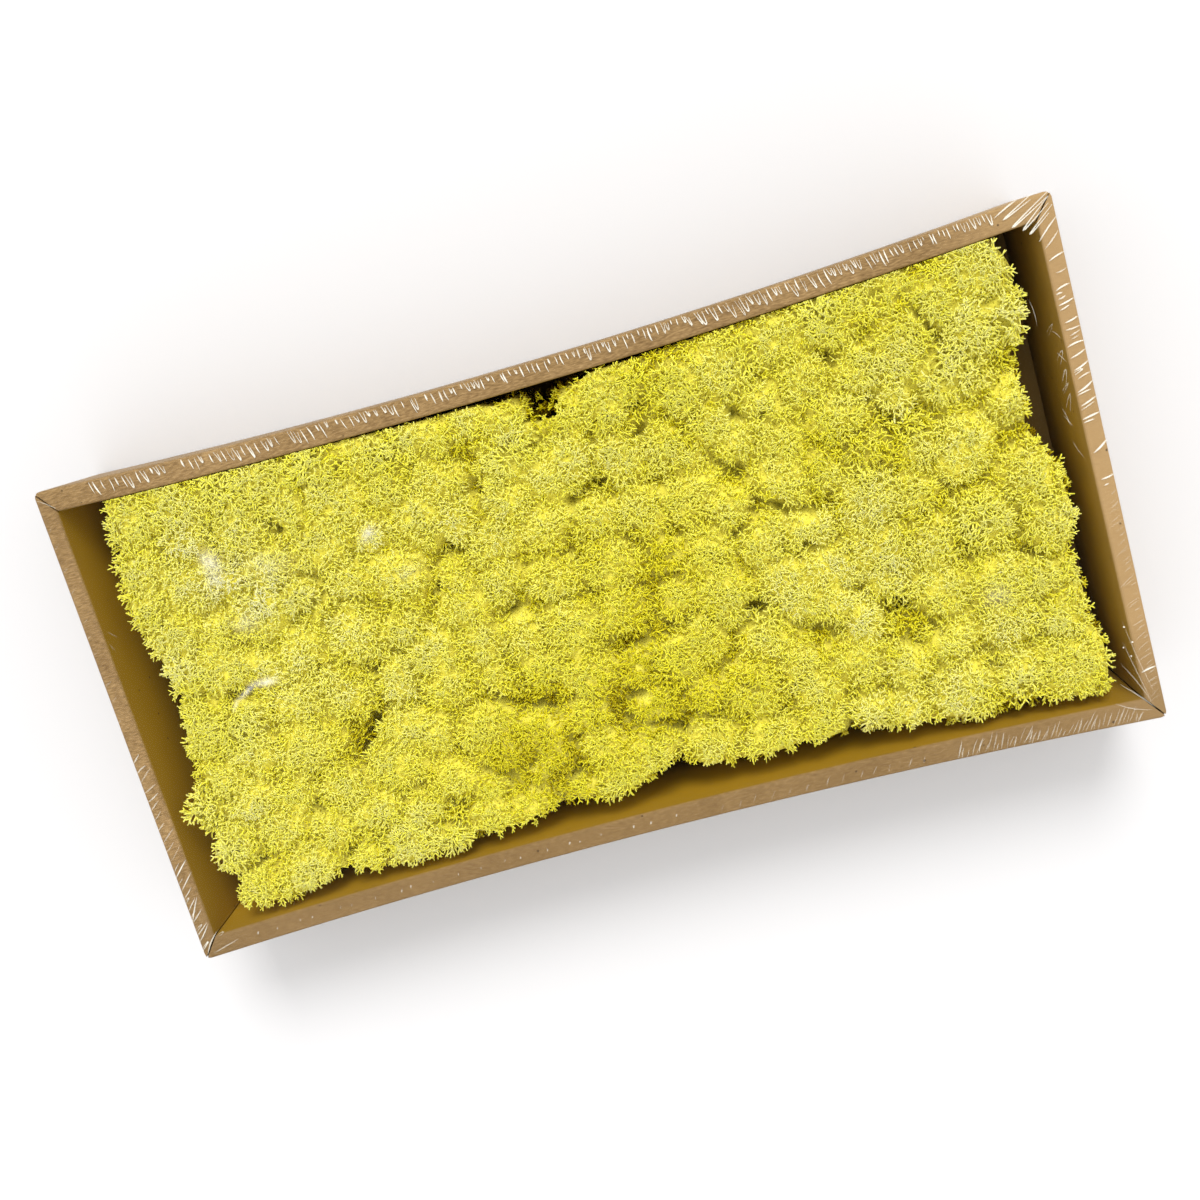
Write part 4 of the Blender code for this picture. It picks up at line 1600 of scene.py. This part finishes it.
STROKES: tuple[Stroke, ...] = (
    # Painted glints on teardrops that fan out from the far right corner.
    Stroke((199, 101), (183.5, 92.5), 1.0, 0.95, True),
    Stroke((198.5, 99), (187, 90.5), 0.9, 0.9, True),
    Stroke((199, 96), (189, 88.5), 0.9, 0.9, True),
    Stroke((193, 101.5), (181, 96), 0.9, 0.9, True),
    Stroke((187, 101.5), (178, 97.5), 0.9, 0.8),
    Stroke((199.2, 92), (191.5, 85), 0.9, 0.8),
    Stroke((198.8, 87), (193, 82), 0.8, 0.6),
    # Bright painted glints across the right side.
    Stroke((193.4, 77.4), (199, 79.2), 0.9, 0.9),
    Stroke((194.8, 72.6), (198.8, 73.4), 0.7, 0.5),
    Stroke((193.4, 66.4), (198.6, 67.8), 0.9, 0.9),
    Stroke((193.2, 65.0), (195.6, 65.4), 0.8, 0.8),
    Stroke((193.6, 63.2), (196.4, 64.0), 0.8, 0.7),
    Stroke((194.8, 49.4), (198.6, 50.6), 0.7, 0.6),
    Stroke((195.0, 48.0), (198.0, 48.8), 0.6, 0.5),
    Stroke((193.2, 41.4), (199, 43.4), 0.9, 0.85),
    Stroke((194.2, 33.4), (199, 34.8), 0.8, 0.7),
    Stroke((193.2, 23.4), (199, 25.6), 1.0, 0.9),
    Stroke((193.0, 22.0), (198.2, 24.0), 0.7, 0.6),
    Stroke((193.2, 61), (199, 62.4), 0.9, 0.95),
    Stroke((193.4, 59.2), (197, 60.4), 0.8, 0.8),
    Stroke((194, 54.4), (199, 55.6), 0.9, 0.9),
    Stroke((193.6, 51.8), (199, 52.2), 0.8, 0.7),
    Stroke((193, 45.6), (199.2, 46.6), 0.9, 0.95),
    Stroke((193.6, 36.8), (199, 39), 1.0, 0.95),
    Stroke((193.2, 35.6), (196.5, 36.6), 0.8, 0.8, True),
    Stroke((193, 28.6), (199.2, 31.6), 1.1, 0.95),
    Stroke((192.8, 27.6), (198, 28.6), 0.8, 0.8),
    Stroke((192.6, 18.4), (199, 19.6), 1.1, 0.95),
    Stroke((192.8, 17.2), (196.8, 17.6), 0.8, 0.8),
    Stroke((194, 5.4), (199.4, 9), 1.2, 0.95),
    Stroke((194.4, -5), (199.2, -4.2), 1.0, 0.9),
    Stroke((195, -7.6), (196.8, -7.2), 0.8, 0.7),
    Stroke((189, 33), (190.6, 38), 0.5, 0.4, True),
    Stroke((188.2, 23), (190.2, 29), 0.5, 0.25, True),
    # Faint painted glints on hooks in the film over the right gap.
    Stroke((188.4, 40.4), (191, 45.2), 0.45, 0.32, True),
    Stroke((187.8, 30), (190.4, 33), 0.45, 0.36, True),
    Stroke((186.2, 22), (188.8, 17), 0.4, 0.34),
    Stroke((186.2, 25), (187.8, 17.4), 0.4, 0.28),
    Stroke((188.8, 45), (191.6, 40.6), 0.4, 0.3),
    Stroke((187.4, 12), (190.6, 4), 0.4, 0.24),
    Stroke((189, 53), (191.4, 49.4), 0.4, 0.26),
    Stroke((183.4, 66), (184.2, 56), 0.4, 0.3),
    Stroke((187, 52), (189.6, 55.4), 0.4, 0.24, True),
    # Faint painted glints on creases that fan in from the near right corner over the gap.
    Stroke((195.5, -96.5), (184.5, -84), 0.7, 0.34),
    Stroke((195, -95), (186.5, -76), 0.6, 0.28),
    Stroke((194.5, -93), (189, -68), 0.6, 0.24),
    Stroke((194, -97), (181, -91), 0.7, 0.3),
    Stroke((196.5, -91), (190.5, -60), 0.6, 0.2),
    Stroke((190.4, -62.6), (190.9, -62.1), 1.0, 0.95),
    Stroke((192.2, -69.2), (192.7, -68.7), 1.0, 0.95),
    Stroke((188.6, -70.4), (189.1, -70), 0.9, 0.8),
    Stroke((190.6, -74.4), (191.2, -74), 0.9, 0.8),
    Stroke((193.4, -81.6), (199, -80.4), 1.0, 0.95),
    # Painted glints on swirls and scratches by the near left corner and on the left side.
    Stroke((-190.5, -92.4), (-187.8, -91.2), 0.6, 0.4, True),
    Stroke((-195, -99.4), (-183, -96), 0.7, 0.4),
    Stroke((-199, -84), (-193.5, -74), 0.8, 0.7),
    Stroke((-197.5, -99), (-190.5, -90.5), 0.8, 0.6),
    Stroke((-190, 41.5), (-186.6, 38.2), 0.5, 0.2),
    Stroke((-191, 37), (-189.4, 33.4), 0.5, 0.18),
    Stroke((-198.8, 98.6), (-192.2, 93.6), 0.6, 0.3),
)


@dataclass(frozen=True)
class Haze:
    """A milky place where the film is pressed to the lichen: its middle, half sizes, turn and weight."""

    place: tuple[float, float]
    reach: tuple[float, float]
    turn_degrees: float
    whiteness: float


HAZES: tuple[Haze, ...] = (
    Haze((-140.5, 57), (4.0, 5.5), 20, 0.6),
    Haze((-141, 50), (4.5, 4.5), 0, 0.22),
    Haze((-77, 50.5), (4.2, 2.6), 35, 0.5),
    Haze((-135.5, 5.2), (5.4, 1.9), -6, 0.85),
    Haze((-144, 3.4), (5.0, 1.3), 28, 0.6),
    Haze((-150, -0.5), (2.8, 1.0), 50, 0.5),
    Haze((-135, 30), (6.0, 4.5), 0, 0.2),
    Haze((-118, 50), (12.0, 6.0), -10, 0.1),
    Haze((148, -38), (6.0, 5.0), 0, 0.16),
    Haze((-66, 32), (7.0, 4.0), 20, 0.08),
)


@dataclass
class Ridge:
    """A small bit of film: its points, its faces and how white each point is."""

    points: np.ndarray
    faces: np.ndarray
    whiteness: np.ndarray


@dataclass
class WrappedFilm:
    """The drawn film: a taut skin over rim and walls, with the small shrink pleats and their painted
    glints.
    """

    tray: KraftTray
    length: float = 400.0
    width: float = 204.4
    height: float = 60.0
    lip: float = 16.0
    edge_radius: float = 1.1
    corner_radius: float = 3.0
    station_gap: float = 4.0
    ridge_foot: float = 0.06
    ridge_rise: float = 0.2
    haze_steps: int = 15
    seed: int = 5
    finish: ShrinkFilm = field(default_factory=ShrinkFilm)

    def build(self) -> list[bpy.types.Object]:
        """Builds the film.

        Returns:
            Its pieces.
        """
        finish = self.finish.material()
        made = [self._skin(), self._pleats(), self._hazes()]
        for piece in made:
            piece.data.materials.append(finish)
            place_in_pack(piece, Node.FILM)
        return made

    def _skin(self) -> bpy.types.Object:
        """Builds the skin: one sheet from the middle of the top, over the folds, to the lip below.

        Returns:
            The piece.
        """
        stations = self._stations()
        profile = self._profile()
        rows = []
        for inset, level in profile:
            x = stations[:, 0] * (1 - inset / (self.length / 2))
            y = stations[:, 1] * (1 - inset / (self.width / 2))
            rows.append(np.stack([x, self.tray.drawn_in(x, y), np.full(len(x), level)], -1))
        points = np.concatenate(rows)
        n = len(stations)
        j = np.arange(n)
        faces = []
        for i in range(len(profile) - 1):
            a, b = i * n + j, i * n + (j + 1) % n
            faces.append(np.stack([a, a + n, b + n, b], -1))
        skin = mesh_object("film_skin", points, np.concatenate(faces))
        store_values(skin, "whiteness", np.zeros(len(points)))
        return skin

    def _on_side(self, side: Side, along: np.ndarray, inset: np.ndarray) -> np.ndarray:
        """Places on the rim, from how far along a side they are and how far in.

        Args:
            side: The rim's side.
            along: Places along that side, from the pack's middle.
            inset: Distances in from the pack's outer edge.

        Returns:
            One row of x, y for each place.
        """
        if side in (Side.FAR, Side.NEAR):
            edge = self.tray.drawn_in(along, np.full(np.shape(along), self.width / 2))
            return np.stack([along, (edge - inset) * (1 if side is Side.FAR else -1)], -1)
        return np.stack([(self.length / 2 - inset) * (1 if side is Side.RIGHT else -1), along], -1)

    def _path(self, loop: bool, length: float, rng: np.random.Generator) -> np.ndarray:
        """Draws one pleat's line: how far along it each point is, and how far to its side.

        Args:
            loop: Whether it turns back on itself in a thin hook.
            length: The pleat's length.
            rng: Source of the unevenness.

        Returns:
            One row of along, aside for each point.
        """
        if not loop:
            share = np.linspace(0, 1, 6)
            bow = rng.uniform(-0.06, 0.06) * length
            return np.stack([share * length, bow * np.sin(share * math.pi)], -1)
        share = np.linspace(-1, 1, 11)
        half_width = min(rng.uniform(0.08, 0.17) * length + 0.15, rng.uniform(0.5, 0.95))
        along = length * (1 - np.abs(share) ** rng.uniform(1.3, 2.2))
        lag = np.where(share > 0, rng.uniform(0.7, 1.0), 1.0)
        aside = half_width * np.sign(share) * np.abs(share) ** 0.8
        return np.stack([along * lag + length * (1 - lag), aside], -1)

    def _ridge(self, line: np.ndarray, width: float, white: float, loop: bool) -> Ridge:
        """Raises a soft-edged ridge along a line on the film.

        Args:
            line: One row of x, y for each point of the line.
            width: The ridge's width, edge to edge.
            white: How white its crown is painted, as a painted glint.
            loop: Whether the line turns back on itself.

        Returns:
            The ridge's points, faces and whiteness.
        """
        ahead = unit(np.gradient(line, axis=0))
        aside = np.stack([-ahead[:, 1], ahead[:, 0]], -1)
        share = np.linspace(0, 1, len(line))
        # A hook is widest at its turn, and a plain pleat is even for most of its length.
        hook = 0.5 + 0.5 * (1 - np.abs(2 * share - 1)) ** 0.8
        taper = hook if loop else np.sin(math.pi * (0.06 + 0.88 * share)) ** 0.5
        half = 0.5 * width * taper[:, None]
        foot = self.height - self.ridge_foot
        rows = [(line - aside * half, foot), (line, foot + self.ridge_rise), (line + aside * half, foot)]
        points = np.stack([np.column_stack([flat, np.full(len(flat), z)]) for flat, z in rows], 1)
        whiteness = np.stack([0 * taper, white * taper, 0 * taper], 1)
        first = 3 * np.arange(len(line) - 1)[:, None]
        faces = np.concatenate([first + np.array([[0, 3, 4, 1]]), first + np.array([[1, 4, 5, 2]])])
        return Ridge(points.reshape(-1, 3), faces, whiteness.ravel())

    def _pleats(self) -> bpy.types.Object:
        """Builds the shrink pleats across the rim and in its corners, with painted glints.

        Returns:
            The piece.
        """
        rng = np.random.default_rng(self.seed)
        ridges = []
        for run in PLEAT_RUNS:
            count = int((run.last - run.first) / run.gap)
            for index in range(count):
                at = run.first + (index + rng.uniform(0.2, 0.8)) * run.gap
                length = run.length * rng.uniform(0.4, 1.2)
                loop = bool(rng.uniform() < run.loops)
                path = self._path(loop, length, rng)
                inset = run.inset + rng.uniform(0.0, 0.8) + path[:, 0]
                drift = at + run.slant * path[:, 0] * rng.uniform(0.6, 1.4) + path[:, 1]
                line = self._on_side(run.side, drift, inset)
                # How white this pleat's painted glint is.
                white = min(1.0, run.whiteness * rng.uniform(0.7, 1.3))
                ridges.append(self._ridge(line, run.width * rng.uniform(0.6, 1.4), white, loop))
        for stroke in STROKES:
            start, end = np.array(stroke.start, float), np.array(stroke.end, float)
            length = float(np.hypot(*(end - start)))
            ahead = (end - start) / length
            aside = np.array([-ahead[1], ahead[0]])
            path = self._path(stroke.loop, length, rng)
            line = start + path[:, :1] * ahead + path[:, 1:] * aside
            ridges.append(self._ridge(line, stroke.width, stroke.whiteness, stroke.loop))
        return self._film_piece("film_pleats", ridges)

    def _hazes(self) -> bpy.types.Object:
        """Builds the milky places where the film is pressed to the lichen.

        Returns:
            The piece.
        """
        patches = []
        ticks = np.linspace(-1.7, 1.7, self.haze_steps)
        number = np.arange(self.haze_steps**2).reshape(self.haze_steps, self.haze_steps)
        cells = grid_cells(number).reshape(-1, 4)
        u, v = (grid.ravel() for grid in np.meshgrid(ticks, ticks, indexing="ij"))
        fade = np.exp(-1.7 * (u**2 + v**2)) * (np.maximum(abs(u), abs(v)) < 1.69)
        for index, haze in enumerate(HAZES):
            turn = math.radians(haze.turn_degrees)
            a, b = u * haze.reach[0], v * haze.reach[1]
            x = haze.place[0] + a * math.cos(turn) - b * math.sin(turn)
            y = haze.place[1] + a * math.sin(turn) + b * math.cos(turn)
            cloud = 0.75 + 0.25 * soft_noise(x, y, 1.6, 90) + 0.2 * soft_noise(a, b * 3, 1.1, 91)
            # Each lies a little higher than the last, so that no two share a level where they meet.
            level = np.full(len(x), self.height - 0.3 + 0.02 * index)
            points = np.stack([x, y, level], -1)
            patches.append(Ridge(points, cells, 0.75 * haze.whiteness * fade * cloud))
        return self._film_piece("film_hazes", patches)

    def _film_piece(self, name: str, parts: list[Ridge]) -> bpy.types.Object:
        """Joins small bits of film to one piece.

        Args:
            name: The piece's name.
            parts: The bits.

        Returns:
            The piece.
        """
        firsts = np.cumsum([0] + [len(part.points) for part in parts[:-1]])
        faces = np.concatenate([part.faces + first for part, first in zip(parts, firsts)])
        piece = mesh_object(name, np.concatenate([part.points for part in parts]), faces)
        store_values(piece, "whiteness", np.clip(np.concatenate([p.whiteness for p in parts]), 0, 1))
        return piece

    def _stations(self) -> np.ndarray:
        """Points round the pack's outline, a few millimetres apart, with rounded corners.

        Returns:
            One row of x, y for each point.
        """
        half_x, half_y, radius = self.length / 2, self.width / 2, self.corner_radius
        points = []
        for cx, cy, begin in (
            (half_x - radius, half_y - radius, 0.0),
            (radius - half_x, half_y - radius, 90.0),
            (radius - half_x, radius - half_y, 180.0),
            (half_x - radius, radius - half_y, 270.0),
        ):
            for turn in np.radians(begin + np.linspace(0, 90, 7)):
                points.append((cx + radius * math.cos(turn), cy + radius * math.sin(turn)))
        corners = np.array(points)
        filled = []
        for a, b in zip(corners, np.roll(corners, -1, 0)):
            steps = max(1, int(np.hypot(*(b - a)) / self.station_gap))
            filled += [a + (b - a) * k / steps for k in range(steps)]
        return np.array(filled)

    def _profile(self) -> list[tuple[float, float]]:
        """Lists the skin's rows, from the middle of the top over the folds to the lip's end.

        Returns:
            Inset and height of each row.
        """
        wrap, low, top = 0.1, 0.05, self.height - 0.1
        turns = np.radians((0, 30, 60, 90))
        radius = self.edge_radius
        fold = [(radius * (1 - math.sin(turn)), radius * (1 - math.cos(turn))) for turn in turns]
        rows = [(inset, top) for inset in (102.1, 80.0, 60.0, 40.0, 25.0, 16.0, 10.0, 7.0, 4.0)]
        rows += [(wrap + early, top - late) for early, late in fold]
        rows += [(wrap, level) for level in (45.0, 30.0, 15.0)]
        rows += [(wrap + late, low + early) for early, late in fold]
        rows += [(self.lip / 2, low), (self.lip, low)]
        return rows


@dataclass
class Studio:
    """Pale paper sweep, a bright soft sky all round and one wide, far lamp from behind the pack."""

    floor_half: float = 1500.0
    sky_strength: float = 1.23
    lamp_from: tuple[float, float, float] = (0.16, 0.84, 0.85)
    lamp_spread_degrees: float = 24.0
    lamp_strength: float = 2.2
    paper: StudioFloor = field(default_factory=StudioFloor)

    def build(self) -> None:
        """Lays the floor and sets the lights."""
        half = self.floor_half
        signs = ((-1, -1), (1, -1), (1, 1), (-1, 1))
        corners = np.array([(half * across, half * along, 0.0) for across, along in signs])
        floor = mesh_object("studio_floor", corners, np.array([[0, 1, 2, 3]]), smooth=False)
        floor.data.materials.append(self.paper.material())
        world = bpy.data.worlds.new("soft_white_room")
        world.use_nodes = True
        sky = world.node_tree.nodes["Background"]
        sky.inputs["Color"].default_value = linear("#ffffff")
        sky.inputs["Strength"].default_value = self.sky_strength
        bpy.context.scene.world = world
        data = bpy.data.lights.new("wide_lamp", "SUN")
        data.angle = math.radians(self.lamp_spread_degrees)
        data.energy = self.lamp_strength
        lamp = bpy.data.objects.new("wide_lamp", data)
        lamp.location = Vector(self.lamp_from)
        lamp.rotation_euler = (-lamp.location).to_track_quat("-Z", "Y").to_euler()
        bpy.context.scene.collection.objects.link(lamp)
        view = bpy.context.scene.view_settings
        view.view_transform = "Standard"
        view.look = "None"


@dataclass
class PhotoCamera:
    """A plain camera with a 42 mm lens, above the pack and a little past its far right."""

    place: tuple[float, float, float] = (64.4, 101.3, 587.3)
    aim: tuple[float, float, float] = (2.1, 1.3, 59.8)
    turn_degrees: float = 16.38
    lens: float = 42.0

    def build(self) -> bpy.types.Object:
        """Sets the camera and makes it the scene's own.

        Returns:
            The camera.
        """
        data = bpy.data.cameras.new("photo_camera")
        data.lens = self.lens
        camera = bpy.data.objects.new("photo_camera", data)
        bpy.context.scene.collection.objects.link(camera)
        place = Vector(self.place) * MM
        ahead = (Vector(self.aim) * MM - place).normalized()
        turn = math.radians(self.turn_degrees)
        right = ahead.cross(Vector((math.sin(turn), math.cos(turn), 0))).normalized()
        upward = right.cross(ahead)
        facing = Matrix((right, upward, -ahead)).transposed().to_4x4()
        camera.matrix_world = Matrix.Translation(place) @ facing
        bpy.context.scene.camera = camera
        return camera


def main() -> None:
    """Builds each part of the pack in order and reports it."""
    logging.basicConfig(level=logging.INFO, format="%(name)s: %(message)s")
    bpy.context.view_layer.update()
    PhotoCamera().build()
    Studio().build()
    tray = KraftTray()
    LOG.info("dressed %s", tray.dress().name)
    made = MossClump(tray).build() + WrappedFilm(tray).build()
    for piece in made:
        triangles = sum(len(face.vertices) - 2 for face in piece.data.polygons)
        LOG.info("built %s, %d triangles", piece.name, triangles)
    bpy.context.view_layer.update()


if __name__ == "__main__":
    main()
